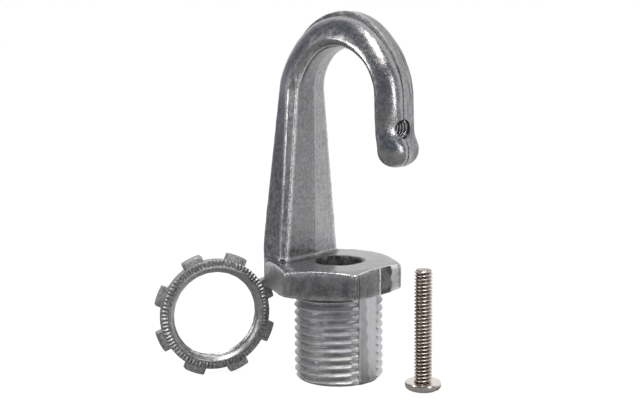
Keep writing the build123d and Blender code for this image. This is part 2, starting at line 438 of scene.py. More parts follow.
@dataclass(frozen=True)
class RingTree:
    """Geometry Nodes tree that sets copies of one shape round a circle in the XY plane."""

    name: str = "ring_of_copies"

    def build(self) -> bpy.types.GeometryNodeTree:
        """Make the tree, with the shape, the count and the first copy's angle as inputs.

        Returns:
            The tree.
        """
        tree = bpy.data.node_groups.new(self.name, "GeometryNodeTree")
        tree.interface.new_socket("Ring", in_out="OUTPUT", socket_type="NodeSocketGeometry")
        tree.interface.new_socket("Shape", in_out="INPUT", socket_type="NodeSocketObject")
        tree.interface.new_socket("Count", in_out="INPUT", socket_type="NodeSocketInt").default_value = 8
        tree.interface.new_socket("First Angle", in_out="INPUT", socket_type="NodeSocketFloat")
        tree.interface.new_socket("Size Spread", in_out="INPUT", socket_type="NodeSocketFloat")
        tree.interface.new_socket("Seed", in_out="INPUT", socket_type="NodeSocketInt").default_value = 7
        tree.interface.new_socket("Finish", in_out="INPUT", socket_type="NodeSocketMaterial")
        nodes, links = tree.nodes, tree.links
        given = nodes.new("NodeGroupInput").outputs
        do = Maths(tree).do
        points = nodes.new("GeometryNodePoints")
        links.new(given["Count"], points.inputs["Count"])
        index = nodes.new("GeometryNodeInputIndex").outputs[0]
        step = do("DIVIDE", 2 * math.pi, given["Count"])
        angle = do("ADD", do("MULTIPLY", index, step), given["First Angle"])
        turn = nodes.new("ShaderNodeCombineXYZ")
        links.new(angle, turn.inputs["Z"])
        chance = nodes.new("FunctionNodeRandomValue")
        links.new(given["Seed"], chance.inputs["Seed"])
        spread = do("MULTIPLY", do("SUBTRACT", chance.outputs[1], 0.5), given["Size Spread"])
        size = nodes.new("ShaderNodeCombineXYZ")
        size.inputs["X"].default_value = 1.0
        size.inputs["Y"].default_value = 1.0
        links.new(do("ADD", 1.0, spread), size.inputs["Z"])
        shape = nodes.new("GeometryNodeObjectInfo")
        links.new(given["Shape"], shape.inputs["Object"])
        copies = nodes.new("GeometryNodeInstanceOnPoints")
        links.new(points.outputs[0], copies.inputs["Points"])
        links.new(shape.outputs["Geometry"], copies.inputs["Instance"])
        links.new(turn.outputs[0], copies.inputs["Rotation"])
        links.new(size.outputs[0], copies.inputs["Scale"])
        realize = nodes.new("GeometryNodeRealizeInstances")
        paint = nodes.new("GeometryNodeSetMaterial")
        links.new(copies.outputs[0], realize.inputs[0])
        links.new(realize.outputs[0], paint.inputs["Geometry"])
        links.new(given["Finish"], paint.inputs["Material"])
        links.new(paint.outputs[0], nodes.new("NodeGroupOutput").inputs[0])
        return tree


def grow(name: str, tree: bpy.types.GeometryNodeTree, values: dict[str, object]) -> bpy.types.Object:
    """Turn a tree's result into a plain mesh piece.

    Args:
        name: The piece's name.
        tree: The tree to run.
        values: Its inputs by name.

    Returns:
        The piece, with no modifier left on it.
    """
    holder = bpy.data.objects.new(name, bpy.data.meshes.new(name + "_seed"))
    bpy.context.scene.collection.objects.link(holder)
    modifier = holder.modifiers.new("grow", "NODES")
    modifier.node_group = tree
    sockets = {item.name: item.identifier for item in tree.interface.items_tree if item.in_out == "INPUT"}
    for label, value in values.items():
        modifier[sockets[label]] = value
    bpy.context.view_layer.update()
    evaluated = holder.evaluated_get(bpy.context.evaluated_depsgraph_get())
    mesh = bpy.data.meshes.new_from_object(evaluated)
    holder.modifiers.remove(modifier)
    holder.data = mesh
    return holder


def take_mesh(piece: bpy.types.Object) -> bmesh.types.BMesh:
    """Take a piece's mesh in millimetres, and remove the piece.

    Args:
        piece: The piece, in metres.

    Returns:
        Its mesh.
    """
    bm = bmesh.new()
    bm.from_mesh(piece.data)
    bmesh.ops.scale(bm, vec=(1 / MM, 1 / MM, 1 / MM), verts=bm.verts)
    bpy.data.objects.remove(piece)
    return bm


class Paint:
    """Values that a mesh's points carry for its finish, such as edge scuffing with painted highlights, polish
    and painted shade.
    """

    def __init__(self, bm: bmesh.types.BMesh, *names: str) -> None:
        """Add a layer to the mesh for each value."""
        self.layers = {name: bm.verts.layers.float.new(name) for name in names}

    def put(self, vertex: bmesh.types.BMVert, **values: float) -> None:
        """Set some of a point's values by name."""
        for name, value in values.items():
            vertex[self.layers[name]] = value


def paint_points(piece: bpy.types.Object, values: dict[str, list[float]]) -> None:
    """Give the points of a finished piece values for its finish.

    Args:
        piece: The piece.
        values: For each value's name, one number for each point.
    """
    for name, numbers in values.items():
        layer = piece.data.attributes.new(name, "FLOAT", "POINT")
        layer.data.foreach_set("value", numbers)


def cut_away(piece: bpy.types.Object, cutter: bpy.types.Object) -> None:
    """Cut one piece out of another.

    Args:
        piece: The piece to cut.
        cutter: The shape to take out of it; it is removed.
    """
    modifier = piece.modifiers.new("cut", "BOOLEAN")
    modifier.operation = "DIFFERENCE"
    modifier.object = cutter
    modifier.solver = "EXACT"
    bpy.context.view_layer.update()
    evaluated = piece.evaluated_get(bpy.context.evaluated_depsgraph_get())
    cut = bpy.data.meshes.new_from_object(evaluated)
    piece.modifiers.remove(modifier)
    piece.data = cut
    bpy.data.objects.remove(cutter)


@dataclass(frozen=True)
class PatternNodes(Maths):
    """Writes noise, colour blends and painted values as nodes of a material."""

    where: bpy.types.NodeSocket

    def noise_at(
        self, size: float, detail: float, rough: float, where: bpy.types.NodeSocket | None = None
    ) -> bpy.types.NodeSocket:
        """Add noise.

        Args:
            size: Width of its bumps in millimetres.
            detail: How many finer layers it has.
            rough: How strong the finer layers are.
            where: The coordinates it is read at, the object's own if left out.

        Returns:
            The noise's socket.
        """
        node = self.tree.nodes.new("ShaderNodeTexNoise")
        node.inputs["Scale"].default_value = 1.0 / (size * MM)
        node.inputs["Detail"].default_value = detail
        node.inputs["Roughness"].default_value = rough
        self.tree.links.new(self.where if where is None else where, node.inputs["Vector"])
        return node.outputs["Fac"]

    def stretch(self, value: bpy.types.NodeSocket, low: float, high: float) -> bpy.types.NodeSocket:
        """Spread the values between two levels smoothly over 0 to 1.

        Args:
            value: The value's socket.
            low: The level that becomes 0.
            high: The level that becomes 1.

        Returns:
            The result's socket.
        """
        node = self.tree.nodes.new("ShaderNodeMapRange")
        node.interpolation_type = "SMOOTHSTEP"
        node.inputs["From Min"].default_value = low
        node.inputs["From Max"].default_value = high
        self.tree.links.new(value, node.inputs["Value"])
        return node.outputs[0]

    def blend(self, share: bpy.types.NodeSocket, first: object, second: object) -> bpy.types.NodeSocket:
        """Mix two colours.

        Args:
            share: The second colour's share.
            first: A socket, or a linear colour.
            second: A socket, or a linear colour.

        Returns:
            The mixed colour's socket.
        """
        node = self.tree.nodes.new("ShaderNodeMix")
        node.data_type = "RGBA"
        self.tree.links.new(share, node.inputs["Factor"])
        for socket, colour in ((node.inputs[6], first), (node.inputs[7], second)):
            if isinstance(colour, bpy.types.NodeSocket):
                self.tree.links.new(colour, socket)
            else:
                socket.default_value = (*colour, 1.0)
        return node.outputs[2]

    def painted(self, name: str) -> bpy.types.NodeSocket:
        """A value that the mesh's points carry, 0 where they have none."""
        node = self.tree.nodes.new("ShaderNodeAttribute")
        node.attribute_name = name
        return node.outputs["Fac"]


@dataclass(frozen=True)
class MetalFinish:
    """Bare metal with grain, mottling, flecks, edge scuffing with painted highlights, and painted shade.

    Colours are linear, and sizes of patterns are millimetres. Each factor is what a mark's
    colour is of the dark colour, or of the light colour for the bright one.
    """

    name: str
    light: Colour
    dark: Colour
    warm: Colour
    roughness: float
    roughness_spread: float
    mottle_size: float
    grain_size: float
    grain_depth: float
    fleck_share: float
    seam_line: bool = False
    bright_factor: float = 2.1
    pit_factor: float = 0.3
    shade_factor: float = 0.22
    seam_factor: float = 0.35
    scratch_factor: float = 0.4
    calm_from_polish: float = 0.4
    gloss_from_polish: float = 0.07
    flat_from_polish: float = 0.5
    least_roughness: float = 0.12
    seam_edges: Point2 = (0.05, 0.22)

    def darker(self, factor: float) -> Colour:
        """The dark colour times a factor."""
        return tuple(part * factor for part in self.dark)

    def build(self) -> bpy.types.Material:
        """Make the material from its nodes.

        Returns:
            The material.
        """
        material = bpy.data.materials.new(self.name)
        material.use_nodes = True
        tree = material.node_tree
        shader = tree.nodes["Principled BSDF"]
        shader.inputs["Metallic"].default_value = 1.0
        draw = PatternNodes(tree, tree.nodes.new("ShaderNodeTexCoord").outputs["Object"])
        mottle = draw.stretch(draw.noise_at(self.mottle_size, 5.0, 0.65), 0.38, 0.66)
        pits = draw.stretch(draw.noise_at(self.grain_size * 2.3, 3.0, 0.6), 0.28, 0.36)
        plain = draw.do("MULTIPLY", draw.painted("polish"), self.calm_from_polish, clamp=True)
        colour = self.bare_colour(draw, mottle, pits, plain)
        if self.seam_line:
            colour = self.with_seam(draw, colour)
        tree.links.new(colour, shader.inputs["Base Color"])
        tree.links.new(self.roughness_of(draw, mottle, plain), shader.inputs["Roughness"])
        tree.links.new(self.bump_of(draw, pits), shader.inputs["Normal"])
        return material

    def bare_colour(
        self,
        draw: PatternNodes,
        mottle: bpy.types.NodeSocket,
        pits: bpy.types.NodeSocket,
        plain: bpy.types.NodeSocket,
    ) -> bpy.types.NodeSocket:
        """Mix the mottled metal with its flecks, pits, edge scuffing with painted highlights, and painted
        shade.

        Args:
            draw: Writes the nodes.
            mottle: The mottling, 0 where dark.
            pits: 0 in a pit and 1 elsewhere.
            plain: How far polish takes the marks away.

        Returns:
            The colour's socket.
        """
        do = draw.do
        bright = tuple(min(1.0, part * self.bright_factor) for part in self.light)
        patches = draw.stretch(draw.noise_at(self.mottle_size * 5.0, 3.0, 0.5), 0.42, 0.68)
        flecks = draw.stretch(draw.noise_at(self.grain_size * 1.6, 2.0, 0.7), 0.60, 0.70)
        lively = do("SUBTRACT", 1.0, plain)
        calm_mottle = do("ADD", do("MULTIPLY", mottle, lively), do("MULTIPLY", plain, 0.6))
        colour = draw.blend(calm_mottle, self.dark, self.light)
        colour = draw.blend(do("MULTIPLY", patches, 0.6), colour, self.warm)
        flecked = do("MULTIPLY", do("MULTIPLY", flecks, self.fleck_share), lively)
        colour = draw.blend(flecked, colour, bright)
        pitted = do("MULTIPLY", do("SUBTRACT", 1.0, pits), do("MULTIPLY", lively, 0.6))
        colour = draw.blend(pitted, colour, self.darker(self.pit_factor))
        # Edge scuffing and painted highlight: the painted value lightens the metal towards the bright colour
        uneven_wear = do("MAXIMUM", draw.stretch(draw.noise_at(0.5, 4.0, 0.7), 0.34, 0.6), plain)
        rubbed_and_lit = do("MULTIPLY", draw.painted("wear"), uneven_wear)
        colour = draw.blend(do("MULTIPLY", rubbed_and_lit, 0.85), colour, bright)
        # Painted shade: the painted value darkens the metal towards the dark colour
        uneven_shade = do("MULTIPLY_ADD", patches, 0.35, 0.82)
        shaded = do("MULTIPLY", draw.painted("shade"), uneven_shade, clamp=True)
        return draw.blend(shaded, colour, self.darker(self.shade_factor))

    def with_seam(self, draw: PatternNodes, colour: bpy.types.NodeSocket) -> bpy.types.NodeSocket:
        """Draw the broken parting line at Y 0, and the scratches that run along the spine.

        Args:
            draw: Writes the nodes.
            colour: The metal's colour.

        Returns:
            The colour with both.
        """
        do = draw.do
        split = draw.tree.nodes.new("ShaderNodeSeparateXYZ")
        draw.tree.links.new(draw.where, split.inputs[0])
        across = do("ABSOLUTE", split.outputs["Y"])
        start, end = self.seam_edges
        line = do("SUBTRACT", 1.0, draw.stretch(across, start * MM, end * MM))
        broken = do("MULTIPLY", line, draw.stretch(draw.noise_at(2.4, 3.0, 0.6), 0.36, 0.5))
        broken = do("MULTIPLY", broken, do("MULTIPLY", draw.painted("seam"), 0.6))
        colour = draw.blend(broken, colour, self.darker(self.seam_factor))
        along = draw.tree.nodes.new("ShaderNodeCombineXYZ")
        draw.tree.links.new(do("MULTIPLY", draw.painted("run"), 0.22 * MM), along.inputs["X"])
        draw.tree.links.new(do("MULTIPLY", split.outputs["Y"], 5.0), along.inputs["Y"])
        scratches = draw.stretch(draw.noise_at(1.0, 3.0, 0.6, along.outputs[0]), 0.47, 0.6)
        scratches = do("MULTIPLY", scratches, draw.painted("scratch"))
        return draw.blend(do("MULTIPLY", scratches, 0.9), colour, self.darker(self.scratch_factor))

    def roughness_of(
        self, draw: PatternNodes, mottle: bpy.types.NodeSocket, plain: bpy.types.NodeSocket
    ) -> bpy.types.NodeSocket:
        """Vary the roughness with the mottling, and lower it where the metal is polished.

        Args:
            draw: Writes the nodes.
            mottle: The mottling, 0 where dark.
            plain: How far polish takes the marks away.

        Returns:
            The roughness's socket.
        """
        do = draw.do
        unevenness = do("MULTIPLY", do("SUBTRACT", mottle, 0.5), self.roughness_spread)
        rough = do("ADD", self.roughness, do("MULTIPLY", unevenness, do("SUBTRACT", 1.0, plain)))
        rough = do("SUBTRACT", rough, do("MULTIPLY", draw.painted("polish"), self.gloss_from_polish))
        return do("MAXIMUM", rough, self.least_roughness)

    def bump_of(self, draw: PatternNodes, pits: bpy.types.NodeSocket) -> bpy.types.NodeSocket:
        """Raise the grain and sink the pits, less so where the metal is polished.

        Args:
            draw: Writes the nodes.
            pits: 0 in a pit and 1 elsewhere.

        Returns:
            The normal's socket.
        """
        do = draw.do
        fine = draw.noise_at(self.grain_size, 4.0, 0.65)
        broad = draw.noise_at(self.grain_size * 9.0, 3.0, 0.55)
        height = do("ADD", fine, do("MULTIPLY", broad, 2.2))
        height = do("SUBTRACT", height, do("MULTIPLY", do("SUBTRACT", 1.0, pits), 0.8))
        bump = draw.tree.nodes.new("ShaderNodeBump")
        strength = do("MULTIPLY_ADD", draw.painted("polish"), -self.flat_from_polish, 1.0, clamp=True)
        draw.tree.links.new(strength, bump.inputs["Strength"])
        bump.inputs["Distance"].default_value = self.grain_depth * MM
        draw.tree.links.new(height, bump.inputs["Height"])
        return bump.outputs[0]


CASTING_METAL = MetalFinish(
    "casting_metal",
    light=(0.42, 0.42, 0.43),
    dark=(0.27, 0.27, 0.285),
    warm=(0.43, 0.41, 0.395),
    roughness=0.35,
    roughness_spread=0.14,
    mottle_size=0.8,
    grain_size=0.2,
    grain_depth=0.035,
    fleck_share=0.6,
    seam_line=True,
)
THREADED_METAL = MetalFinish(
    "threaded_casting_metal",
    light=(0.66, 0.66, 0.68),
    dark=(0.54, 0.54, 0.56),
    warm=(0.62, 0.61, 0.60),
    roughness=0.5,
    roughness_spread=0.1,
    mottle_size=1.1,
    grain_size=0.2,
    grain_depth=0.02,
    fleck_share=0.4,
)
NUT_METAL = MetalFinish(
    "locknut_metal",
    light=(0.46, 0.46, 0.465),
    dark=(0.26, 0.26, 0.265),
    warm=(0.44, 0.43, 0.42),
    roughness=0.42,
    roughness_spread=0.14,
    mottle_size=0.7,
    grain_size=0.2,
    grain_depth=0.05,
    fleck_share=0.5,
)
SCREW_METAL = MetalFinish(
    "screw_metal",
    light=(0.66, 0.60, 0.56),
    dark=(0.52, 0.46, 0.42),
    warm=(0.58, 0.50, 0.45),
    roughness=0.33,
    roughness_spread=0.04,
    mottle_size=2.6,
    grain_size=0.12,
    grain_depth=0.003,
    fleck_share=0.08,
)


@dataclass(frozen=True)
class HookSizes:
    """Sizes of the casting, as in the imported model."""

    nipple_radius: float = 10.3
    nipple_root_radius: float = 9.1
    nipple_length: float = 20.5
    nipple_half_flats: float = 9.6
    nipple_pitch: float = 1.883
    bore_radius: float = 5.6
    flange_apothem: float = 14.1
    flange_thickness: float = 6.7
    flange_offset: float = -1.9
    flange_corner: float = 0.9
    least_corner: float = 0.25
    stem_inner_x: float = -7.1
    throat_radius: float = 10.05
    throat_z: float = 66.2
    half_width: float = 4.8
    back_half_width: float = 3.1
    arm_depth: float = 5.7
    tip_z: float = 50.0
    tip_round: float = 3.0
    tip_side_round: float = 4.2
    hole_z: float = 58.4
    hole_radius: float = 2.135
    # How deep the tapped hole's near rim is let down, and how far that spreads along the
    # arm, across it and into it
    rim_sink: float = 0.5
    rim_sink_along: float = 2.3
    rim_sink_across: Point2 = (-0.4, 2.3)
    rim_sink_inwards: float = 2.6
    rim_sink_limit: float = 8.0

    @property
    def flange_top(self) -> float:
        """Height of the flange's top."""
        return self.nipple_length + self.flange_thickness

    @property
    def throat_x(self) -> float:
        """Middle of the throat."""
        return self.stem_inner_x + self.throat_radius

    @property
    def arm_inner_x(self) -> float:
        """Inner face of the arm where it leaves the bend."""
        return self.throat_x + self.throat_radius

    def hexagon_reach(self, angle: float, inset: float = 0.0) -> float:
        """Distance from the flange's middle to its side.

        Args:
            angle: Direction in radians.
            inset: How far inside the side.

        Returns:
            The reach in millimetres, with the corners rounded.
        """
        apothem = self.flange_apothem - inset
        sector = math.pi / 3
        off_face = (angle + sector / 2) % sector - sector / 2
        reach = apothem / math.cos(off_face)
        corner = max(self.flange_corner - inset, self.least_corner)
        centre = (apothem - corner) / math.cos(sector / 2)
        off_corner = sector / 2 - abs(off_face)
        room = corner**2 - (centre * math.sin(off_corner)) ** 2
        if room > 0:
            reach = min(reach, centre * math.cos(off_corner) + math.sqrt(room))
        return reach

    def sink_rim(self, piece: bpy.types.Object) -> None:
        """Let the near side of the tapped hole's outer rim down, where the arm is rounded off.

        Args:
            piece: The piece, in metres.
        """
        middle = self.arm_inner_x + self.arm_depth / 2
        for vertex in piece.data.vertices:
            at = vertex.co / MM
            if at.x < middle or abs(at.z - self.hole_z) > self.rim_sink_limit:
                continue
            near = ease(-at.y, *self.rim_sink_across)
            near *= math.exp(-(((at.z - self.hole_z) / self.rim_sink_along) ** 2))
            inwards = ease(at.x, middle, middle + self.rim_sink_inwards)
            vertex.co.x -= self.rim_sink * near * inwards * MM


class Corner(IntEnum):
    """Corners of the bar's outline, from its inner face's middle round by the front half."""

    INNER = 0
    FRONT_EDGE = 1
    FRONT_SIDE = 2
    FRONT_SPINE = 3
    SEAM = 4
    PROUD_SEAM = 5
    PROUD_EDGE = 6
    PROUD_FOOT = 7
    FAR_SIDE = 8
    FAR_EDGE = 9


NEVER_RUBBED_OR_LIT = (Corner.INNER, Corner.SEAM, Corner.PROUD_FOOT)
PROUD_SPINE = (Corner.PROUD_SEAM, Corner.PROUD_EDGE, Corner.PROUD_FOOT)
INNER_FACE = (Corner.INNER, Corner.FAR_EDGE)


@dataclass(frozen=True)
class Station:
    """One cross section of the bar, in its own plane."""

    origin: Vector
    outwards: Vector
    depth: float
    half_width: float
    back_half_width: float
    draft: float
    flat: float
    rounding: Point3
    step: float
    proud_half: float = 0.0
    front_cut: float = 0.0
    bead: float = 0.0
    crease: float = 0.0
    rounded: Point2 = (0.0, 0.0)
    foot: float = 0.0
    # How much the edges are scuffed and painted with highlight lines, and how polished the front is
    wear: float = 1.0
    polish: float = 0.0
    softening: float = 0.0


@dataclass
class HookBar:
    """Stem, bend, arm and tip of the casting, as one closed skin."""

    sizes: HookSizes
    arc_points: int = 7
    run_points: int = 8
    foot_depth: float = 9.5
    foot_half_width: float = 9.4
    foot_back_half_width: float = 8.9
    foot_flat: float = 1.8
    foot_fillet: float = 0.9
    stem_depth: float = 7.9
    stem_flat: float = 3.0
    stem_draft: float = 0.8
    stem_step_heights: Point2 = (40.0, 66.0)
    bend_flat: float = 2.0
    bend_draft: float = 0.4
    # Radii of the outline's inner edges, its sides and its outer edge
    stem_rounding: Point3 = (0.4, 2.6, 0.5)
    bend_rounding: Point3 = (1.4, 2.0, 2.0)
    end_step: float = 0.15
    front_cut: float = 0.7
    bead: float = 0.1
    crease_depth: float = 0.16
    arm_lean: float = 0.5
    tip_flare: float = 0.7
    tip_flare_inside: float = 0.4
    tip_flare_heights: Point2 = (54.0, 58.0)
    proud_width: float = 3.7
    softening_steps: int = 40
    drill_length: float = 14.0
    drill_segments: int = 64
    # Sections from this far below the throat's middle on stay within the flange's hexagon
    foot_limit: float = 20.0
    # Angles on the bend, between which it takes the stem's form, its spine loses the proud
    # half, the front cut ends, the crease comes and goes, and the polish ends
    stem_angles: Point2 = (140.0, 180.0)
    proud_angles: Point2 = (148.0, 172.0)
    cut_angles: Point2 = (60.0, 120.0)
    crease_start: Point2 = (60.0, 90.0)
    crease_end: Point2 = (160.0, 178.0)
    polish_angles: Point2 = (70.0, 110.0)
    # Heights of sections over the flange's top and over the tip's end, close where it curves
    foot_rises: tuple[float, ...] = (-1.2, -0.05, 0.02, 0.1, 0.22, 0.4, 0.62, 0.9)
    tip_rises: tuple[float, ...] = (
        3.0, 2.7, 2.4, 2.1, 1.8, 1.5, 1.22, 0.97, 0.74, 0.53, 0.35, 0.2, 0.1, 0.04
    )
    low_sections: int = 25
    low_spacing: float = 0.3
    stem_sections: int = 34
    bend_spacing: float = 2.0
    arm_sections: int = 33
    arm_spacing: float = 0.4
    # The bend at angles from the arm at 0 to the stem at 180: its depth, how proud the far
    # half of the spine is, and how far its inner face stands inside the throat's circle
    bend_shape: dict[float, Point3] = field(
        default_factory=lambda: {
            0: (5.7, 0.15, 0.0),
            15: (5.6, 0.25, 0.3),
            30: (5.6, 0.4, 0.5),
            50: (6.0, 0.6, 0.8),
            70: (6.7, 0.85, 0.8),
            90: (7.1, 1.1, 0.6),
            110: (7.2, 1.1, 0.3),
            130: (7.3, 1.0, 0.1),
            150: (7.4, 0.6, 0.0),
            165: (7.5, 0.3, 0.0),
            180: (7.9, 0.15, 0.0),
        }
    )

    def stem_station(self, height: float) -> Station:
        """Cross section of the stem at a height.

        Args:
            height: Its height in millimetres.

        Returns:
            The cross section.
        """
        sizes = self.sizes
        foot_z = sizes.nipple_length + sizes.flange_thickness / 2
        share = (height - foot_z) / (sizes.throat_z - foot_z)
        above = height - sizes.flange_top
        return Station(
            origin=Vector((sizes.stem_inner_x, 0, height)),
            outwards=Vector((-1, 0, 0)),
            depth=mix(self.foot_depth, self.stem_depth, share),
            half_width=mix(self.foot_half_width, sizes.half_width, share),
            back_half_width=mix(self.foot_back_half_width, sizes.back_half_width, share),
            draft=self.stem_draft,
            flat=mix(self.foot_flat, self.stem_flat, share),
            rounding=self.stem_rounding,
            step=self.end_step * ease(height, *self.stem_step_heights),
            bead=self.bead,
            foot=quarter_round(self.foot_fillet, max(above, 0.0)),
        )

    def bend_station(self, angle: float) -> Station:
        """Cross section of the bend: angle is 180 at the stem and 0 at the arm.

        Args:
            angle: Its angle in degrees.

        Returns:
            The cross section.
        """
        sizes = self.sizes
        turned = math.radians(angle)
        outwards = Vector((math.cos(turned), 0, math.sin(turned)))
        on_bend = 1.0 - ease(angle, *self.stem_angles)
        depth, step, fill = (
            smooth_between([(at, row[column]) for at, row in self.bend_shape.items()], angle)
            for column in range(3)
        )
        middle = Vector((sizes.throat_x, 0, sizes.throat_z))
        return Station(
            origin=middle + outwards * (sizes.throat_radius - fill),
            outwards=outwards,
            depth=depth,
            half_width=sizes.half_width,
            back_half_width=sizes.back_half_width,
            draft=mix(self.stem_draft, self.bend_draft, on_bend),
            flat=mix(self.stem_flat, self.bend_flat, on_bend),
            rounding=tuple(
                mix(first, second, on_bend)
                for first, second in zip(self.stem_rounding, self.bend_rounding)
            ),
            step=step,
            proud_half=1.0 - ease(angle, *self.proud_angles),
            front_cut=self.front_cut * (1.0 - ease(angle, *self.cut_angles)),
            bead=self.bead * (1.0 - on_bend),
            crease=ease(angle, *self.crease_start) * (1.0 - ease(angle, *self.crease_end)),
            # Painted highlight lines on the edges are strongest on the stem
            wear=1.0 - on_bend * 0.9,
            polish=1.0 - ease(angle, *self.polish_angles),
            softening=on_bend,
        )

    def arm_station(self, height: float) -> Station:
        """Cross section of the arm or its rounded tip at a height.

        Args:
            height: Its height in millimetres.

        Returns:
            The cross section.
        """
        sizes = self.sizes
        fall = (sizes.throat_z - height) / (sizes.throat_z - sizes.tip_z)
        flared = 1.0 - ease(height, *self.tip_flare_heights)
        inner_x = sizes.arm_inner_x + self.arm_lean * fall + self.tip_flare_inside * flared
        above = height - sizes.tip_z
        return Station(
            origin=Vector((inner_x, 0, height)),
            outwards=Vector((1, 0, 0)),
            depth=sizes.arm_depth + self.tip_flare * flared,
            half_width=sizes.half_width,
            back_half_width=sizes.back_half_width,
            draft=self.bend_draft,
            flat=self.bend_flat,
            rounding=self.bend_rounding,
            step=self.end_step,
            proud_half=1.0,
            front_cut=self.front_cut,
            rounded=(quarter_round(sizes.tip_round, above), quarter_round(sizes.tip_side_round, above)),
            # Faint painted highlight on the arm's edges
            wear=0.1,
            polish=1.0,
            softening=1.0,
        )

    def outline(self, station: Station) -> tuple[list[Point2], list[float], list[float]]:
        """Sample a station's outline, depth first, with the front half on the plus side.

        Args:
            station: The cross section.

        Returns:
            Its points, how far each one is scuffed and painted with highlight, and how far each one is
            raised.
        """
        inside, outside = station.rounded[0], station.depth - station.rounded[0]
        room = (outside - inside) / station.depth
        width = station.half_width - station.rounded[1]
        back = width - (station.half_width - station.back_half_width) * room
        side_start = inside + station.draft * room
        side_end = side_start + station.flat * room
        step = station.step * room
        # The far half of the spine is wider at the back, and stands proud
        proud_width = mix(back, max(self.proud_width - station.rounded[1], back), station.proud_half)
        slope_share = (width - proud_width) / (width - back)
        slope_end = mix(side_end, outside, min(slope_share, 0.97))
        points = [
            (inside, 0.0),
            (side_start, width),
            (side_end, width),
            (outside, back - station.front_cut * room),
            (outside, 0.0),
            (outside + step, -0.02),
            (outside + step, -proud_width),
            (slope_end, -mix(width, back, min(slope_share, 0.97))),
            (side_end, -width),
            (side_start, -width),
        ]
        inner, side, outer = station.rounding
        far_outer = mix(0.25, max(station.step, 0.25), station.proud_half)
        radii = [0.06, inner, side, outer, 0.04, 0.25 * station.step, far_outer, 0.3, side, inner]
        radii = [radius * room for radius in radii]
        outline = round_corners(points, radii, self.arc_points, self.run_points)
        outline = self.soften(outline, station.softening)
        per_corner = self.arc_points + self.run_points
        rubbed_and_lit = []
        raised = []
        for i in range(len(outline)):
            corner, place = divmod(i, per_corner)
            # Edges get scuffing and painted highlight lines, as strong as the station's value
            on_edge = corner not in NEVER_RUBBED_OR_LIT and place < self.arc_points
            rubbed_and_lit.append(station.wear if on_edge else 0.0)
            height = 0.0
            if corner == Corner.FRONT_SIDE and place < self.arc_points:
                height = station.bead * math.sin(math.pi * place / (self.arc_points - 1))
            if corner == Corner.INNER and place == per_corner - 1:
                height = -self.crease_depth * station.crease
            raised.append(height)
        return outline, rubbed_and_lit, raised

    def soften(self, outline: list[Point2], amount: float) -> list[Point2]:
        """Make the front half of an outline rounder.

        Args:
            outline: The outline's points.
            amount: How much, up to 1.

        Returns:
            The same points, moved.
        """
        for _ in range(round(self.softening_steps * amount)):
            moved = list(outline)
            for i, (depth, across) in enumerate(outline):
                if across < 0.5:
                    continue
                before, after = outline[i - 1], outline[(i + 1) % len(outline)]
                share = 0.5 * ease(across, 0.5, 1.5)
                middle = ((before[0] + after[0]) / 2, (before[1] + after[1]) / 2)
                moved[i] = (mix(depth, middle[0], share), mix(across, middle[1], share))
            outline = moved
        return outline

    def stations(self) -> list[Station]:
        """Every cross section, from inside the flange to the tip's end.

        Returns:
            The sections in order.
        """
        sizes = self.sizes
        heights = [sizes.flange_top + rise for rise in self.foot_rises]
        low = heights[-1]
        heights += [low + self.low_spacing * k for k in range(1, self.low_sections + 1)]
        last = heights[-1]
        count = self.stem_sections
        heights += [last + (sizes.throat_z - last) * k / count for k in range(1, count)]
        stations = [self.stem_station(height) for height in heights]
        turns = round(180 / self.bend_spacing)
        stations += [self.bend_station(180 - self.bend_spacing * k) for k in range(turns + 1)]
        falls = [sizes.throat_z - self.arm_spacing * k for k in range(1, self.arm_sections + 1)]
        tip_start = sizes.tip_z + self.tip_rises[0]
        stations += [self.arm_station(height) for height in falls if height > tip_start]
        stations += [self.arm_station(sizes.tip_z + rise) for rise in self.tip_rises]
        return stations

    def place(self, station: Station, point: Point2, normal: Vector, lift: float) -> Vector:
        """Put an outline's point in space, with the foot's fillet and the flange's hexagon.

        Args:
            station: The cross section.
            point: The point in its plane.
            normal: The direction out of the outline there.
            lift: How far the point is raised.

        Returns:
            The place in millimetres.
        """
        sizes = self.sizes
        depth = point[0] + normal.x * (station.foot + lift)
        across = point[1] + normal.y * (station.foot + lift)
        where = station.origin + station.outwards * depth + Vector((0, -across, 0))
        if where.z < sizes.throat_z - self.foot_limit:
            out = Vector((where.x - sizes.flange_offset, where.y))
            reach = sizes.hexagon_reach(math.atan2(out.y, out.x))
            if out.length > reach:
                out *= reach / out.length
                where.x, where.y = out.x + sizes.flange_offset, out.y
        return where

    def paint_point(
        self, paint: Paint, vertex: bmesh.types.BMVert, station: Station, corner: int, point: Point2
    ) -> None:
        """Set a point's polish, painted shade and scratches, and its edge scuffing and painted highlight too.

        Args:
            paint: The mesh's layers.
            vertex: The point in the mesh.
            station: Its cross section.
            corner: The outline's corner it belongs to.
            point: The point in the outline.
        """
        depth, across = point
        arm_share = ease(station.origin.x, self.sizes.throat_x + 4, self.sizes.throat_x + 9)
        paint.put(vertex, polish=station.polish if across > 0.3 else 0.0, seam=1.0 - 0.6 * arm_share)
        if corner in PROUD_SPINE:
            paint.put(vertex, scratch=station.proud_half)
        # A painted highlight strip along the proud half's seam, where the crease is
        if corner == Corner.PROUD_SEAM and across > -1.1:
            paint.put(vertex, scratch=0.0, wear=0.6 * station.crease)
        # Painted shade on the foot's fillet, darker on the inner face and the front edge
        if station.foot > 0.05:
            dark = corner in (*INNER_FACE, Corner.FRONT_EDGE)
            paint.put(vertex, shade=0.75 if dark else 0.35)
        # Painted shade on the inner face's middle, darker on its front half
        elif corner in INNER_FACE and abs(depth) < 1.0:
            paint.put(vertex, shade=0.32 if across > 0.05 else 0.06)

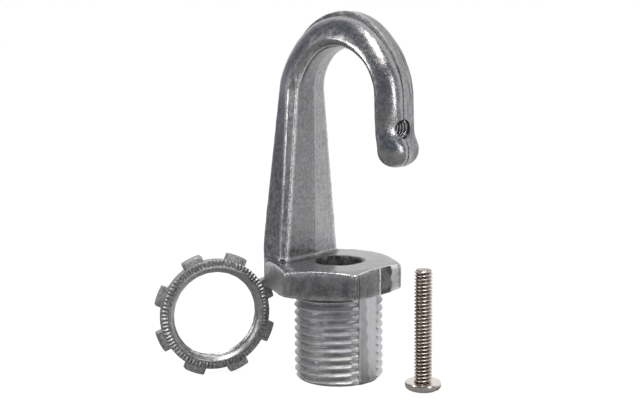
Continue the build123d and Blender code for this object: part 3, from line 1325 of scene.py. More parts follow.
    def build(self, material: bpy.types.Material) -> bpy.types.Object:
        """Make the bar's skin, with its tapped hole bored through the arm.

        Args:
            material: Its finish.

        Returns:
            The piece `hook_bar`.
        """
        bm = bmesh.new()
        paint = Paint(bm, "wear", "polish", "shade", "seam", "run", "scratch")
        per_corner = self.arc_points + self.run_points
        loops = []
        run = 0.0
        last = None
        for station in self.stations():
            run += (station.origin - last).length if last else 0.0
            last = station.origin
            outline, rubbed_and_lit, raised = self.outline(station)
            loop = []
            for i, point in enumerate(outline):
                along = Vector(outline[(i + 1) % len(outline)]) - Vector(outline[i - 1])
                normal = Vector((-along.y, along.x))
                if normal.length > 0:
                    normal.normalize()
                vertex = bm.verts.new(self.place(station, point, normal, raised[i]))
                paint.put(vertex, wear=rubbed_and_lit[i], run=run)
                self.paint_point(paint, vertex, station, i // per_corner, point)
                loop.append(vertex)
            loops.append(loop)
        skin(bm, loops)
        for loop in (loops[0], loops[-1]):
            middle = sum((vertex.co for vertex in loop), Vector()) / len(loop)
            close_loop(bm, loop, middle)
        bmesh.ops.recalc_face_normals(bm, faces=bm.faces)
        piece = mesh_piece("hook_bar", bm, material)
        self.bore_hole(piece)
        self.sizes.sink_rim(piece)
        roughen(piece, 2.6, 0.05)
        smooth_by_angle(piece, 38)
        return piece

    def bore_hole(self, piece: bpy.types.Object) -> None:
        """Cut the cross hole through the arm.

        Args:
            piece: The bar.
        """
        sizes = self.sizes
        bm = bmesh.new()
        turn = Matrix.Rotation(math.radians(90), 4, "Y")
        start = Vector((sizes.arm_inner_x + sizes.arm_depth / 2, 0, sizes.hole_z))
        bmesh.ops.create_cone(
            bm,
            cap_ends=True,
            segments=self.drill_segments,
            radius1=sizes.hole_radius,
            radius2=sizes.hole_radius,
            depth=self.drill_length,
            matrix=Matrix.Translation(start) @ turn,
        )
        cut_away(piece, mesh_piece("drill", bm, piece.data.materials[0]))


@dataclass
class HookFlange:
    """Hexagonal flange with a conical top and the wire bore through it."""

    sizes: HookSizes
    around: int = 480
    cone_radius: float = 13.4
    cone_slope: float = 15.0
    corner_reach: float = 14.6
    ridge_height: float = 0.16
    ridge_width: float = 0.28
    hidden_radius: float = 9.0
    hole_radius: float = 6.0
    side_start: float = 0.6
    side_end: float = 0.3
    # How far in and how far from the face the rings of the bottom and the top edge are
    bottom_edge: tuple[Point2, ...] = (
        (2.6, 0.0), (1.0, 0.0), (0.5, 0.02), (0.22, 0.14), (0.06, 0.32), (0.0, 0.6)
    )
    top_edge: tuple[Point2, ...] = ((0.0, 0.3), (0.03, 0.16), (0.1, 0.06), (0.22, 0.0))
    top_shares: tuple[float, ...] = (0.0, 0.15, 0.35, 0.55, 0.75, 0.9)
    bore_shares: tuple[float, ...] = (0.2, 0.4, 0.6, 0.8)

    def angles(self) -> list[float]:
        """Directions of a ring's points."""
        return [2 * math.pi * k / self.around for k in range(self.around)]

    def top_at(self, radius: float) -> float:
        """Height of the top at a distance from the flange's middle."""
        fall = max(radius - self.cone_radius, 0.0) * math.tan(math.radians(self.cone_slope))
        return self.sizes.flange_top - fall

    def bore_ring(self, radius: float, height: float, ragged: float = 0.0) -> list[Point3]:
        """Points round the bore.

        Args:
            radius: The ring's radius.
            height: Its height.
            ragged: How uneven the radius is.

        Returns:
            The points, in millimetres.
        """
        points = []
        for angle in self.angles():
            direction = Vector((math.cos(angle), math.sin(angle), height))
            uneven = ragged * noise.fractal(direction * 2.6, 1.0, 2.0, 4)
            reach = radius + uneven
            points.append((reach * math.cos(angle), reach * math.sin(angle), height))
        return points

    def side_ring(self, inset: float, height_at: Callable[[float, float], float]) -> list[Point3]:
        """Points along the hexagon, with the parting line's ridge on the side along +X.

        Args:
            inset: How far inside the sides.
            height_at: Gives a point's height from its reach and how far into a corner it is.

        Returns:
            The points, in millimetres.
        """
        points = []
        for angle in self.angles():
            reach = self.sizes.hexagon_reach(angle, inset)
            past_corner = max(self.sizes.hexagon_reach(angle) - self.corner_reach, 0.0)
            across = reach * math.sin(angle)
            if math.cos(angle) > 0 and inset < 0.3:
                reach += self.ridge_height * math.exp(-((across / self.ridge_width) ** 2))
            height = height_at(reach, past_corner)
            x = self.sizes.flange_offset + reach * math.cos(angle)
            points.append((x, reach * math.sin(angle), height))
        return points

    def top_ring(self, share: float) -> list[Point3]:
        """Points on the flat top, from the cone's inner edge at 0 towards the hole at 1.

        Args:
            share: How far in.

        Returns:
            The points, in millimetres.
        """
        points = []
        for angle in self.angles():
            x = self.sizes.flange_offset + self.cone_radius * math.cos(angle)
            rim = Vector((x, self.cone_radius * math.sin(angle)))
            hole = Vector((self.hole_radius * math.cos(angle), self.hole_radius * math.sin(angle)))
            at = rim.lerp(hole, share)
            points.append((at.x, at.y, self.sizes.flange_top))
        return points

    def rings(self) -> list[tuple[list[Point3], float]]:
        """Every ring with its edge scuffing and painted highlight, from the bore's foot out, up the sides and
        back in.

        Returns:
            The rings in order.
        """
        bore, low, top = self.sizes.bore_radius, self.sizes.nipple_length, self.sizes.flange_top
        rings = [(self.bore_ring(bore, low + 0.05), 0.0)]
        rings.append((self.bore_ring(self.hidden_radius, low + 0.02), 0.0))
        for inset, rise in self.bottom_edge:
            ring = self.side_ring(inset, lambda reach, past, rise=rise: low + rise + past * 0.25)
            rings.append((ring, 0.5 if rise > 0.1 else 0.0))
        for share in [0.12 * k for k in range(1, 8)]:
            start, end = low + self.side_start, self.side_end
            ring = self.side_ring(
                0.0, lambda reach, past, share=share: mix(start, self.top_at(reach) - end, share)
            )
            rings.append((ring, 0.0))
        # The top edge rings carry the strongest painted highlight
        for inset, rise in (*self.top_edge, (0.5, 0.0)):
            ring = self.side_ring(inset, lambda reach, past, rise=rise: self.top_at(reach) - rise)
            rings.append((ring, 1.0 if inset < 0.5 else 0.0))
        for share in self.top_shares:
            rings.append((self.top_ring(share), 0.35 if share == 0.0 else 0.0))
        rings.append((self.bore_ring(bore + 0.32, top, 0.4), 0.3))
        rings.append((self.bore_ring(bore + 0.1, top - 0.08, 0.45), 0.3))
        rings.append((self.bore_ring(bore, top - 0.3, 0.3), 0.0))
        for share in self.bore_shares:
            rings.append((self.bore_ring(bore, mix(top - 0.3, low, share), 0.06), 0.0))
        return rings

    def paint_point(self, paint: Paint, vertex: bmesh.types.BMVert) -> None:
        """Set a point's painted shade and polish, and where it carries a painted highlight too.

        Args:
            paint: The mesh's layers.
            vertex: The point.
        """
        low, top = self.sizes.nipple_length, self.sizes.flange_top
        at, normal = vertex.co, vertex.normal
        if at.xy.length < self.sizes.bore_radius + 0.6 and at.z > low + 0.3:
            # Painted shade inside the bore
            paint.put(vertex, shade=0.7, polish=-2.5, wear=0.0)
        elif normal.z > 0.9:
            # Painted shade on the top, growing towards +X
            paint.put(vertex, polish=1.0, shade=0.22 * ease(at.x, 0.0, 9.0))
        elif normal.x > 0.85 and at.x > 8.0:
            # Painted shade: the near half of this side is evenly dark, and the far half darker up to a wavy
            # edge
            if at.y < -0.2:
                paint.put(vertex, shade=0.62)
            elif at.y < 4.3 + 0.3 * math.sin(at.z * 2.3):
                paint.put(vertex, shade=0.95 if at.y > 0.3 else 0.0)
            # A painted highlight along the ridge
            if abs(at.y) < 0.35:
                paint.put(vertex, wear=1.0)
        elif normal.x > 0.3 and normal.y < -0.7 and normal.z < 0.3:
            # Painted shade in blotches on the front face, less near its edges
            from_edges = ease(top - at.z, 0.6, 2.2) * ease(at.z - low, 0.3, 1.6)
            blotch = noise.fractal(at / 3.0, 1.0, 2.0, 3)
            paint.put(vertex, shade=min(max(0.26 * from_edges + 0.45 * blotch, 0.0), 0.7))

    def build(self, material: bpy.types.Material) -> bpy.types.Object:
        """Make the flange as one closed ring.

        Args:
            material: Its finish.

        Returns:
            The piece `hook_flange`.
        """
        bm = bmesh.new()
        paint = Paint(bm, "wear", "shade", "polish")
        loops = []
        for points, wear in self.rings():
            loop = [bm.verts.new(point) for point in points]
            for vertex in loop:
                paint.put(vertex, wear=wear)
            loops.append(loop)
        skin(bm, loops, closed=True)
        bmesh.ops.recalc_face_normals(bm, faces=bm.faces)
        bm.normal_update()
        for vertex in bm.verts:
            self.paint_point(paint, vertex)
            vertex.co += vertex.normal * grain(vertex.co, 2.2, 0.05)
        piece = mesh_piece("hook_flange", bm, material)
        smooth_by_angle(piece, 38)
        return piece


@dataclass
class HookNipple:
    """Hollow nipple with a pipe thread that two flats cut through."""

    sizes: HookSizes
    tree: bpy.types.GeometryNodeTree
    turn_offset: float = 0.53
    end_chamfer: float = 0.9
    top_overlap: float = 0.2
    # Angles from a flat's middle, in degrees: where the flat ends on the near half, how much
    # less far it reaches on the far half, and where the crests are back at full height
    flat_reach: float = 22.5
    flat_far_change: float = -10.0
    relief_start: float = 30.0
    relief_end: float = 33.0
    relief_radius: float = 9.75
    points_around: int = 361
    rows_per_turn: int = 16
    # Radii and rises of the rings from the thread's lower end into the bore, and of its top
    end_rings: tuple[Point2, ...] = ((8.4, 0.0), (6.1, 0.0))
    bore_rises: Point2 = (0.35, 4.0)
    top_radius: float = 8.0

    def build(self, material: bpy.types.Material) -> bpy.types.Object:
        """Wind the thread and turn its end in to the bore.

        Args:
            material: Its finish.

        Returns:
            The piece `hook_nipple`.
        """
        sizes = self.sizes
        piece = grow(
            "hook_nipple",
            self.tree,
            {
                "Crest Radius": sizes.nipple_radius * MM,
                "Depth": (sizes.nipple_radius - sizes.nipple_root_radius) * MM,
                "Pitch": sizes.nipple_pitch * MM,
                "Length": (sizes.nipple_length + self.top_overlap) * MM,
                "Turn Offset": self.turn_offset,
                "Crest Roundness": 1.0,
                "End Chamfer": self.end_chamfer * MM,
                "Flat Distance": sizes.nipple_half_flats * MM,
                "Flat Near Reach": self.flat_reach,
                "Flat Far Change": self.flat_far_change,
                "Relief Radius": self.relief_radius * MM,
                "Relief Start": self.relief_start,
                "Relief End": self.relief_end,
                "Points Around": self.points_around,
                "Rows Per Turn": self.rows_per_turn,
                "Finish": material,
            },
        )
        bm = take_mesh(piece)
        bmesh.ops.remove_doubles(bm, verts=bm.verts, dist=DOUBLES)
        self.line_bore(bm)
        bmesh.ops.recalc_face_normals(bm, faces=bm.faces)
        bm.normal_update()
        paint = Paint(bm, "wear", "shade", "polish")
        for vertex in bm.verts:
            if vertex.co.xy.length < sizes.bore_radius + 1:
                continue
            self.paint_point(paint, vertex)
            vertex.co += vertex.normal * grain(vertex.co, 1.6, 0.045)
        piece = mesh_piece("hook_nipple", bm, material)
        smooth_by_angle(piece, 50)
        return piece

    def paint_point(self, paint: Paint, vertex: bmesh.types.BMVert) -> None:
        """Set a point's painted highlight, painted shade and polish, on the thread or a flat.

        Args:
            paint: The mesh's layers.
            vertex: The point.
        """
        at = vertex.co
        reach = at.xy.length
        off_flat = math.degrees(math.acos(min(abs(at.x) / reach, 1.0)))
        near = at.y < 0
        inside_edge = self.flat_reach - 1.0
        if near and inside_edge < off_flat < self.flat_reach + 2.0:
            # A painted highlight line along the near flat's edge
            paint.put(vertex, wear=0.9)
        elif not near or off_flat > self.relief_end:
            root = self.sizes.nipple_root_radius
            # Painted highlights on the crests, painted shade in the roots
            crest_wear_and_highlight = (0.9 if near else 0.4) * ease(reach, 10.1, 10.28)
            paint.put(vertex, wear=crest_wear_and_highlight, shade=0.5 * (1.0 - ease(reach, root + 0.05, root + 0.35)))
        # Painted shade: the flat is dark up to a wavy line that leans to the near side towards the top
        split = -0.7 - 0.9 * at.z / self.sizes.nipple_length + 0.25 * math.sin(at.z * 1.9)
        if off_flat < inside_edge and near and at.y < split:
            paint.put(vertex, shade=0.45)
        elif off_flat < 12.0 or (near and off_flat < inside_edge):
            # A little painted shade on the rest of the flat
            paint.put(vertex, polish=1.0, shade=0.2)

    def line_bore(self, bm: bmesh.types.BMesh) -> None:
        """Add the end's rim, the bore's wall and the closed top inside the flange.

        Args:
            bm: The thread's mesh, in millimetres.
        """
        radius = self.sizes.bore_radius
        low = min(vertex.co.z for vertex in bm.verts)
        high = max(vertex.co.z for vertex in bm.verts)
        wall = [(radius, rise) for rise in (*self.bore_rises, self.sizes.nipple_length - 0.2)]
        ends = []
        for level, steps in ((low, [*self.end_rings, *wall]), (high, [(self.top_radius, 0.0)])):
            edge = open_edge(bm, level)
            loops = [edge]
            for reach, rise in steps:
                ring = []
                for vertex in edge:
                    direction = vertex.co.xy.normalized() * reach
                    ring.append(bm.verts.new((direction.x, direction.y, level + rise)))
                loops.append(ring)
            skin(bm, loops)
            ends.append(loops[-1])
        skin(bm, ends)


@dataclass
class HoleThread:
    """Thread inside the arm's cross hole."""

    sizes: HookSizes
    tree: bpy.types.GeometryNodeTree
    pitch: float = 0.794
    depth: float = 0.46
    cover: float = 0.02
    set_back: float = 0.5
    points_around: int = 73
    rows_per_turn: int = 12
    # How deep the painted highlight reaches down from the crests, and how far past it the roots' painted
    # shade starts
    highlight_crest_depth: float = 0.24
    dark_root: float = 0.1

    def build(self, material: bpy.types.Material) -> bpy.types.Object:
        """Wind the thread and lay it along the hole.

        Args:
            material: Its finish.

        Returns:
            The piece `hole_thread`.
        """
        sizes = self.sizes
        piece = grow(
            "hole_thread",
            self.tree,
            {
                "Crest Radius": (sizes.hole_radius + self.cover) * MM,
                "Depth": self.depth * MM,
                "Pitch": self.pitch * MM,
                "Length": (sizes.arm_depth - self.set_back) * MM,
                "Crest Roundness": 1.0,
                "Points Around": self.points_around,
                "Rows Per Turn": self.rows_per_turn,
                "Finish": material,
            },
        )
        turn = Matrix.Rotation(math.radians(90), 4, "Y")
        start = Vector((sizes.arm_inner_x + self.set_back, 0, sizes.hole_z))
        piece.data.transform(Matrix.Translation(start * MM) @ turn)
        piece.data.flip_normals()
        sizes.sink_rim(piece)
        middle_z = sizes.hole_z * MM
        reaches = [math.hypot(vertex.co.y, vertex.co.z - middle_z) / MM for vertex in piece.data.vertices]
        crest = sizes.hole_radius - self.highlight_crest_depth
        # Painted highlights on the crests and painted shade in the roots
        paint_points(
            piece,
            {
                "wear": [1.0 if reach < crest else 0.0 for reach in reaches],
                "shade": [0.8 if reach > crest + self.dark_root else 0.0 for reach in reaches],
                "polish": [2.0] * len(reaches),
            },
        )
        return piece


@dataclass
class ClosingScrew:
    """Pan-head machine screw that stands on its head."""

    tree: bpy.types.GeometryNodeTree
    place: Point2 = (22.1, 3.0)
    radius: float = 2.085
    thread_depth: float = 0.55
    pitch: float = 0.794
    length: float = 25.4
    turn_offset: float = 0.3
    end_chamfer: float = 0.45
    points_around: int = 97
    rows_per_turn: int = 12
    head_radius: float = 4.05
    head_height: float = 2.0
    head_points: int = 96
    rim_height: float = 1.2
    rim_steps: int = 12
    crown_radius: float = 1.8
    slot_width: float = 1.1
    slot_depth: float = 1.1

    def build(self, material: bpy.types.Material) -> bpy.types.Object:
        """Wind the shank's thread, close its ends and set it on the head.

        Args:
            material: Its finish.

        Returns:
            The piece `closing_screw_shank`.
        """
        piece = grow(
            "closing_screw_body",
            self.tree,
            {
                "Crest Radius": self.radius * MM,
                "Depth": self.thread_depth * MM,
                "Pitch": self.pitch * MM,
                "Length": self.length * MM,
                "Turn Offset": self.turn_offset,
                "Crest Roundness": 1.0,
                "Top Chamfer": self.end_chamfer * MM,
                "Points Around": self.points_around,
                "Rows Per Turn": self.rows_per_turn,
                "Finish": material,
            },
        )
        bm = take_mesh(piece)
        bmesh.ops.remove_doubles(bm, verts=bm.verts, dist=DOUBLES)
        bmesh.ops.translate(bm, vec=(0, 0, self.head_height), verts=bm.verts)
        paint = Paint(bm, "shade")
        # Painted shade in the thread's roots
        for vertex in bm.verts:
            off_root = ease(vertex.co.xy.length, self.radius - 0.5, self.radius - 0.2)
            paint.put(vertex, shade=0.75 * (1.0 - off_root))
        for level in (self.head_height, self.head_height + self.length):
            close_loop(bm, open_edge(bm, level), Vector((0, 0, level)))
        bmesh.ops.recalc_face_normals(bm, faces=bm.faces)
        bmesh.ops.translate(bm, vec=(*self.place, 0), verts=bm.verts)
        shank = mesh_piece("closing_screw_shank", bm, material)
        smooth_by_angle(shank, 50)
        return shank

    def head_profile(self) -> list[Point2]:
        """Radius and height of the head's rings, from its crown to its flat side.

        Returns:
            The rows in order.
        """
        profile = [(0.001, 0.0)]
        for k in range(self.rim_steps + 1):
            turned = k / self.rim_steps * math.pi / 2
            radius = mix(self.crown_radius, self.head_radius, math.sin(turned))
            profile.append((radius, self.rim_height * (1 - math.cos(turned))))
        radius, top = self.head_radius, self.head_height
        profile += [(radius + 0.02, self.rim_height + 0.25), (radius, top - 0.16)]
        profile += [(radius - 0.07, top - 0.05), (radius - 0.2, top), (2.6, top), (1.0, top)]
        return profile

    def build_head(self, material: bpy.types.Material) -> bpy.types.Object:
        """Turn the head and cut its slot.

        Args:
            material: Its finish.

        Returns:
            The piece `closing_screw_head`.
        """
        bm = bmesh.new()
        loops = []
        for radius, height in self.head_profile():
            ring = []
            for k in range(self.head_points):
                angle = 2 * math.pi * k / self.head_points
                x = self.place[0] + radius * math.cos(angle)
                y = self.place[1] + radius * math.sin(angle)
                ring.append(bm.verts.new((x, y, height)))
            loops.append(ring)
        skin(bm, loops)
        close_loop(bm, loops[0], Vector((*self.place, 0.0)))
        close_loop(bm, loops[-1], Vector((*self.place, self.head_height)))
        bmesh.ops.recalc_face_normals(bm, faces=bm.faces)
        head = mesh_piece("closing_screw_head", bm, material)
        bm = bmesh.new()
        size = Matrix.Diagonal((self.head_radius * 2.4, self.slot_width, self.slot_depth * 2, 1.0))
        bmesh.ops.create_cube(bm, size=1.0, matrix=Matrix.Translation((*self.place, 0)) @ size)
        cut_away(head, mesh_piece("slot_cutter", bm, material))
        count = len(head.data.vertices)
        # Painted highlight lightens the whole head, which is polished too
        paint_points(head, {"wear": [0.45] * count, "polish": [1.5] * count})
        smooth_by_angle(head, 35)
        return head


@dataclass
class Locknut:
    """Locknut that stands on two of its lugs, its serrated face to the front."""

    ring_tree: bpy.types.GeometryNodeTree
    place: Point2 = (-22.35, -17.5)
    facing: float = -28.5
    body_radius: float = 13.0
    body_points: int = 288
    face_radii: Point2 = (12.4, 11.9)
    back_radius: float = 11.6
    lug_radius: float = 14.55
    lug_width: float = 4.8
    lug_root_radius: float = 12.4
    lug_edge: float = 0.26
    lug_count: int = 8
    thickness: float = 2.6
    lug_setback: float = 0.35
    minor_radius: float = 9.8
    major_radius: float = 10.4
    mouth_radius: float = 10.95
    mouth_depth: float = 0.7
    pitch: float = 1.883
    thread_rows: int = 22
    serration_count: int = 88
    serration_depth: float = 0.3
    serration_middle: float = 12.2
    # Along a serration: its radius, how far its crown lies below the face and the crown's
    # share of the room it has
    serration_sections: tuple[Point3, ...] = (
        (11.45, 0.14, 0.42), (11.75, 0.0, 0.5), (12.2, 0.0, 0.56), (12.85, 0.02, 0.6), (12.98, 0.22, 0.62)
    )

    @property
    def seat(self) -> Matrix:
        """Turns the nut from lying on its back at the origin to its place.

        Returns:
            The matrix, in millimetres.
        """
        half_lug = math.asin(self.lug_width / 2 / self.lug_radius)
        lift = self.lug_radius * math.cos(math.pi / self.lug_count - half_lug)
        facing = math.radians(self.facing)
        normal = Vector((math.cos(facing), math.sin(facing), 0))
        across = Vector((-normal.y, normal.x, 0))
        turn = Matrix((across, Vector((0, 0, 1)), normal)).transposed().to_4x4()
        centre = Vector((*self.place, lift)) - normal * self.thickness
        return Matrix.Translation(centre) @ turn

    def seated(self, name: str, bm: bmesh.types.BMesh, material: bpy.types.Material) -> bpy.types.Object:
        """Write a mesh that lies at the origin as a piece in the nut's place.

        Args:
            name: The piece's name.
            bm: Its mesh, in millimetres.
            material: Its finish.

        Returns:
            The piece.
        """
        bmesh.ops.recalc_face_normals(bm, faces=bm.faces)
        bmesh.ops.transform(bm, matrix=self.seat, verts=bm.verts)
        piece = mesh_piece(name, bm, material)
        smooth_by_angle(piece, 40)
        return piece

    def body_rows(self) -> list[tuple[float | None, float]]:
        """Radius and height of the body's rings, with no radius where the thread sets it.

        Returns:
            The rows in order.
        """
        rim, top = self.body_radius, self.thickness
        face = top - self.serration_depth
        outside = [(rim - 0.25, 0.0), (rim - 0.05, 0.08), (rim, 0.3), (rim, 1.2), (rim, face - 0.1)]
        outside.append((rim - 0.12, face))
        front = [(radius, face) for radius in self.face_radii]
        front += [(self.serration_sections[0][0], top - 0.12), (11.2, top - 0.02)]
        mouth_top, mouth_end = top - 0.16, top - self.mouth_depth
        front += [(self.mouth_radius + 0.05, top - 0.04), (self.mouth_radius - 0.1, mouth_top)]
        mouth = [
            (mix(self.mouth_radius - 0.1, self.major_radius - 0.1, share), mix(mouth_top, mouth_end, share))
            for share in (0.25, 0.5, 0.75, 1.0)
        ]
        rows = self.thread_rows
        thread = [(None, mix(mouth_end - 0.05, 0.1, k / rows)) for k in range(rows + 1)]
        return [*outside, *front, *mouth, *thread, (self.major_radius, 0.0), (self.back_radius, 0.0)]

    def build_body(self, material: bpy.types.Material) -> bpy.types.Object:
        """Make the ring with its countersunk, threaded bore.

        Args:
            material: Its finish.

        Returns:
            The piece `locknut_body`.
        """
        bm = bmesh.new()
        loops = []
        for radius, height in self.body_rows():
            ring = []
            for k in range(self.body_points):
                angle = 2 * math.pi * k / self.body_points
                reach = radius
                if reach is None:
                    phase = height / self.pitch - k / self.body_points + 0.2
                    crest = abs(math.cos(math.pi * phase)) ** 0.9
                    reach = mix(self.minor_radius, self.major_radius, crest)
                ring.append(bm.verts.new((reach * math.cos(angle), reach * math.sin(angle), height)))
            loops.append(ring)
        skin(bm, loops, closed=True)
        bm.normal_update()
        paint = Paint(bm, "wear", "polish", "shade")
        for vertex in bm.verts:
            if vertex.co.xy.length < self.mouth_radius + 0.1:
                # Painted highlight and a little painted shade on the mouth's chamfer and the bore
                paint.put(vertex, wear=0.4, polish=0.7, shade=0.15)
                continue
            vertex.co.x += grain(vertex.co, 1.5, 0.03)
            if 0.2 < vertex.co.z < 2.2:
                vertex.co.z += grain(vertex.co + Vector((9, 0, 0)), 1.5, 0.02)
        return self.seated("locknut_body", bm, material)

    def build_serrations(self, material: bpy.types.Material) -> bpy.types.Object:
        """Set the serrations round the front face.

        Args:
            material: Its finish.

        Returns:
            The piece `locknut_serrations`.
        """
        tooth = bmesh.new()
        low, top = self.thickness - self.serration_depth - 0.05, self.thickness
        half = math.pi * self.serration_middle / self.serration_count
        sections = []
        for radius, fall, width in self.serration_sections:
            crown, height = half * width, top - fall
            base = half * 0.98 * radius / self.serration_middle
            profile = [
                (-base, low),
                (-crown * 0.6, height - 0.09),
                (-crown * 0.2, height),
                (crown * 0.2, height),
                (crown * 0.6, height - 0.09),
                (base, low),
            ]
            sections.append([tooth.verts.new((radius, across, z)) for across, z in profile])
        skin(tooth, sections)
        tooth.faces.new(sections[0])
        tooth.faces.new(list(reversed(sections[-1])))
        bmesh.ops.recalc_face_normals(tooth, faces=tooth.faces)
        shape = mesh_piece("tooth", tooth, material)
        return self.ring_of(shape, "locknut_serrations", self.serration_count, 0.0, 0.06, material)

    def build_lugs(self, material: bpy.types.Material) -> bpy.types.Object:
        """Set the lugs round the rim.

        Args:
            material: Its finish.

        Returns:
            The piece `locknut_lugs`.
        """
        lug = bmesh.new()
        half_lug = math.asin(self.lug_width / 2 / self.lug_radius)
        corners = [(self.lug_root_radius, -self.lug_width / 2)]
        for k in range(9):
            angle = mix(-half_lug, half_lug, k / 8)
            corners.append((self.lug_radius * math.cos(angle), self.lug_radius * math.sin(angle)))
        corners.append((self.lug_root_radius, self.lug_width / 2))
        bottom = lug.faces.new([lug.verts.new((x, y, 0.0)) for x, y in corners])
        raised = bmesh.ops.extrude_face_region(lug, geom=[bottom])
        lifted = [item for item in raised["geom"] if isinstance(item, bmesh.types.BMVert)]
        bmesh.ops.translate(lug, vec=(0, 0, self.thickness - self.lug_setback), verts=lifted)
        bmesh.ops.recalc_face_normals(lug, faces=lug.faces)
        outer = [edge for edge in lug.edges if edge.verts[0].co.x > self.lug_root_radius + 0.1]
        sharp = [edge for edge in outer if edge.calc_face_angle(0.0) > 0.6]
        bmesh.ops.bevel(lug, geom=sharp, offset=self.lug_edge, segments=3, profile=0.6, affect="EDGES")
        shape = mesh_piece("lug", lug, material)
        first = math.pi / self.lug_count
        return self.ring_of(shape, "locknut_lugs", self.lug_count, first, 0.03, material)

    def ring_of(
        self,
        shape: bpy.types.Object,
        name: str,
        count: int,
        first: float,
        spread: float,
        material: bpy.types.Material,
    ) -> bpy.types.Object:
        """Set copies of a shape round the nut, and put them in its place.

        Args:
            shape: The shape, beside the nut's axis; it is removed.
            name: The new piece's name.
            count: How many copies.
            first: The first copy's angle in radians.
            spread: How much their heights differ, as a share.
            material: Their finish.

        Returns:
            One piece with every copy.
        """
        values = {"Shape": shape, "Count": count, "First Angle": first, "Size Spread": spread}
        piece = grow(name, self.ring_tree, {**values, "Seed": 7, "Finish": material})
        bpy.data.objects.remove(shape)
        return self.seated(name, take_mesh(piece), material)


def frontness(tree: bpy.types.NodeTree, direction: bpy.types.NodeSocket) -> bpy.types.NodeSocket:
    """How far a direction points to the studio's dark front.

    Args:
        tree: The tree to add to.
        direction: The direction's socket.

    Returns:
        1 in front, 0 behind and at the sides, with a soft border.
    """
    do = Maths(tree).do
    level = tree.nodes.new("ShaderNodeVectorMath")
    level.operation = "MULTIPLY"
    level.inputs[1].default_value = (1.0, 1.0, 0.35)
    tree.links.new(direction, level.inputs[0])
    unit = tree.nodes.new("ShaderNodeVectorMath")
    unit.operation = "NORMALIZE"
    tree.links.new(level.outputs[0], unit.inputs[0])
    split = tree.nodes.new("ShaderNodeSeparateXYZ")
    tree.links.new(unit.outputs[0], split.inputs[0])
    ahead = do("ADD", do("MULTIPLY", split.outputs["X"], 0.174), do("MULTIPLY", split.outputs["Y"], -0.985))
    return do("MULTIPLY", do("ADD", ahead, 0.38), 4.0, clamp=True)


@dataclass(frozen=True)
class Lamp:
    """A soft lamp that points at the hook. Places and sizes are metres, power is watts."""

    name: str
    at: Point3
    size: Point2
    power: float
    colour: Colour = (1.0, 1.0, 1.0)
    target: Point3 = (0.0, 0.0, 0.045)

    def add(self) -> None:
        """Put the lamp in the scene."""
        data = bpy.data.lights.new(self.name, "AREA")
        data.shape = "RECTANGLE"
        data.size, data.size_y = self.size
        data.energy = self.power
        data.color = self.colour
        lamp = bpy.data.objects.new(self.name, data)
        lamp.location = self.at
        aim = Vector(self.target) - Vector(self.at)
        lamp.rotation_euler = aim.to_track_quat("-Z", "Y").to_euler()
        bpy.context.scene.collection.objects.link(lamp)


WARM_LIGHT = (1.0, 0.96, 0.9)
LAMPS = (
    Lamp("front_left", (-0.18, -0.46, 0.25), (0.12, 0.14), 0.85, WARM_LIGHT),
    Lamp("right_strip", (0.50, -0.10, 0.13), (0.06, 0.30), 0.6),
    Lamp("top_right", (0.17, -0.14, 0.48), (0.16, 0.20), 1.3, WARM_LIGHT),
)


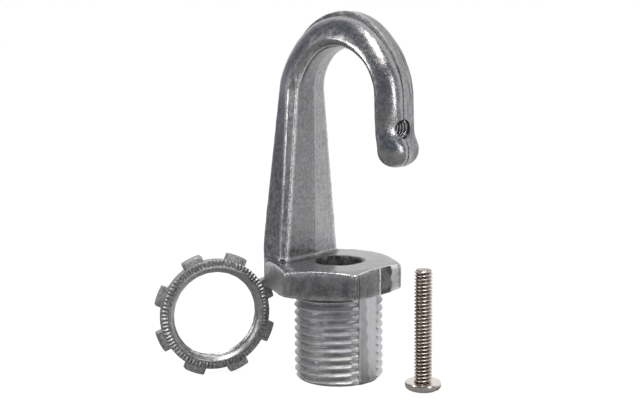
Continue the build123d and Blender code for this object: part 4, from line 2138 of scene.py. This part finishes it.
@dataclass
class Studio:
    """Camera, lamps, floor and white surroundings."""

    azimuth: float = 41.21
    elevation: float = 8.34
    distance: float = 274.29
    aside: float = -3.86
    height: float = 41.11
    roll: float = -0.50
    focal_px: float = 1200.0
    picture_width: int = 640
    sensor_width: float = 36.0
    shift_px: Point2 = (-0.8, 0.7)
    back_level: float = 1.0
    front_level: float = 0.18
    top_level: float = 0.6
    top_from: float = 0.88
    front_tint: Colour = (0.86, 0.94, 1.15)
    floor_size: float = 4000.0
    floor_drop: float = 0.05
    floor_colour: Colour = (0.9, 0.9, 0.9)
    floor_glow: float = 1.13
    floor_glow_seen: float = 0.82
    floor_glow_mirrored: float = 0.75

    def add_camera(self) -> None:
        """Set the camera where the photograph was taken from."""
        turned, raised, rolled = (math.radians(v) for v in (self.azimuth, self.elevation, self.roll))
        right = Vector((math.cos(turned), math.sin(turned), 0))
        level_ahead = Vector((-math.sin(turned) * math.cos(raised), math.cos(turned) * math.cos(raised), 0))
        ahead = level_ahead - Vector((0, 0, math.sin(raised)))
        up = right.cross(ahead)
        place = right * self.aside + Vector((0, 0, self.height)) - ahead * self.distance
        level_right = right * math.cos(rolled) + up * math.sin(rolled)
        level_up = up * math.cos(rolled) - right * math.sin(rolled)
        data = bpy.data.cameras.new("camera")
        data.sensor_width = self.sensor_width
        data.lens = self.focal_px / self.picture_width * self.sensor_width
        data.shift_x, data.shift_y = (shift / self.picture_width for shift in self.shift_px)
        data.clip_start = 0.01
        camera = bpy.data.objects.new("camera", data)
        turn = Matrix((level_right, level_up, -ahead)).transposed().to_4x4()
        camera.matrix_world = Matrix.Translation(place * MM) @ turn
        bpy.context.scene.collection.objects.link(camera)
        bpy.context.scene.camera = camera

    def add_world(self) -> None:
        """White to the camera, and grey that is darker towards the front elsewhere."""
        world = bpy.data.worlds.new("surroundings")
        bpy.context.scene.world = world
        world.use_nodes = True
        tree = world.node_tree
        nodes, links = tree.nodes, tree.links
        do = Maths(tree).do
        shine = nodes["Background"]
        direction = nodes.new("ShaderNodeTexCoord").outputs["Generated"]
        front = frontness(tree, direction)
        level = do("SUBTRACT", self.back_level, do("MULTIPLY", front, self.back_level - self.front_level))
        height = nodes.new("ShaderNodeSeparateXYZ")
        links.new(direction, height.inputs[0])
        overhead = do("MULTIPLY", do("SUBTRACT", height.outputs["Z"], self.top_from), 12.0, clamp=True)
        level = do("MAXIMUM", level, do("MULTIPLY", overhead, self.top_level))
        to_camera = nodes.new("ShaderNodeLightPath").outputs["Is Camera Ray"]
        links.new(do("MAXIMUM", level, to_camera), shine.inputs["Strength"])
        tint = nodes.new("ShaderNodeMix")
        tint.data_type = "RGBA"
        links.new(do("MULTIPLY", front, do("SUBTRACT", 1.0, to_camera)), tint.inputs["Factor"])
        tint.inputs[6].default_value = (1.0, 1.0, 1.0, 1.0)
        tint.inputs[7].default_value = (*self.front_tint, 1.0)
        links.new(tint.outputs[2], shine.inputs["Color"])

    def add_floor(self) -> bpy.types.Object:
        """Lay a pale floor that fades into the white surroundings.

        Returns:
            The floor.
        """
        bm = bmesh.new()
        bmesh.ops.create_grid(bm, x_segments=2, y_segments=2, size=self.floor_size)
        material = bpy.data.materials.new("floor")
        material.use_nodes = True
        tree = material.node_tree
        nodes, links = tree.nodes, tree.links
        do = Maths(tree).do
        matt = nodes["Principled BSDF"]
        matt.inputs["Base Color"].default_value = (*self.floor_colour, 1.0)
        matt.inputs["Roughness"].default_value = 0.9
        matt.inputs["Specular IOR Level"].default_value = 0.0
        glow = nodes.new("ShaderNodeEmission")
        path = nodes.new("ShaderNodeLightPath")
        seen = do("MAXIMUM", path.outputs["Is Camera Ray"], path.outputs["Is Transmission Ray"])
        front = frontness(tree, nodes.new("ShaderNodeTexCoord").outputs["Object"])
        mirrored = path.outputs["Is Glossy Ray"]
        level = do("MULTIPLY_ADD", do("MULTIPLY", mirrored, front), -1.0, self.floor_glow)
        links.new(level, glow.inputs["Strength"])
        seen = do("MULTIPLY", seen, self.floor_glow_seen)
        mirrored = do("MULTIPLY", mirrored, self.floor_glow_mirrored)
        share = nodes.new("ShaderNodeMixShader")
        links.new(do("MAXIMUM", seen, mirrored), share.inputs[0])
        links.new(matt.outputs[0], share.inputs[1])
        links.new(glow.outputs[0], share.inputs[2])
        links.new(share.outputs[0], nodes["Material Output"].inputs["Surface"])
        floor = mesh_piece("floor", bm, material)
        floor.location.z = -self.floor_drop * MM
        return floor

    def build(self) -> None:
        """Set up the whole studio."""
        bpy.context.scene.view_settings.view_transform = "Standard"
        self.add_camera()
        self.add_world()
        for lamp in LAMPS:
            lamp.add()
        self.add_floor()


def main() -> None:
    """Build the hook, its locknut and its closing screw, and the studio round them."""
    logging.basicConfig(level=logging.INFO, format="%(message)s")
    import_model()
    cast = CASTING_METAL.build()
    nut_metal = NUT_METAL.build()
    steel = SCREW_METAL.build()
    sizes = HookSizes()
    thread_tree = ThreadTree().build()
    ring_tree = RingTree().build()
    screw = ClosingScrew(thread_tree)
    nut = Locknut(ring_tree)
    pieces = [
        (HookBar(sizes).build(cast), "hook", Slot.CASTING),
        (HookFlange(sizes).build(cast), "hook", Slot.CASTING),
        (HookNipple(sizes, thread_tree).build(THREADED_METAL.build()), "hook", Slot.CASTING),
        (HoleThread(sizes, thread_tree).build(cast), "hook", Slot.CASTING),
        (screw.build(steel), "closing_screw", Slot.SCREW),
        (screw.build_head(steel), "closing_screw", Slot.SCREW),
        (nut.build_body(nut_metal), "locknut", Slot.LOCKNUT),
        (nut.build_serrations(nut_metal), "locknut", Slot.LOCKNUT),
        (nut.build_lugs(nut_metal), "locknut", Slot.LOCKNUT),
    ]
    for piece, node, slot in pieces:
        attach(piece, ROOT_BODY)
        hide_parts(node)
        log.info("%s: %d faces, for %s", piece.name, len(piece.data.polygons), node)
    Studio().build()


if __name__ == "__main__":
    main()
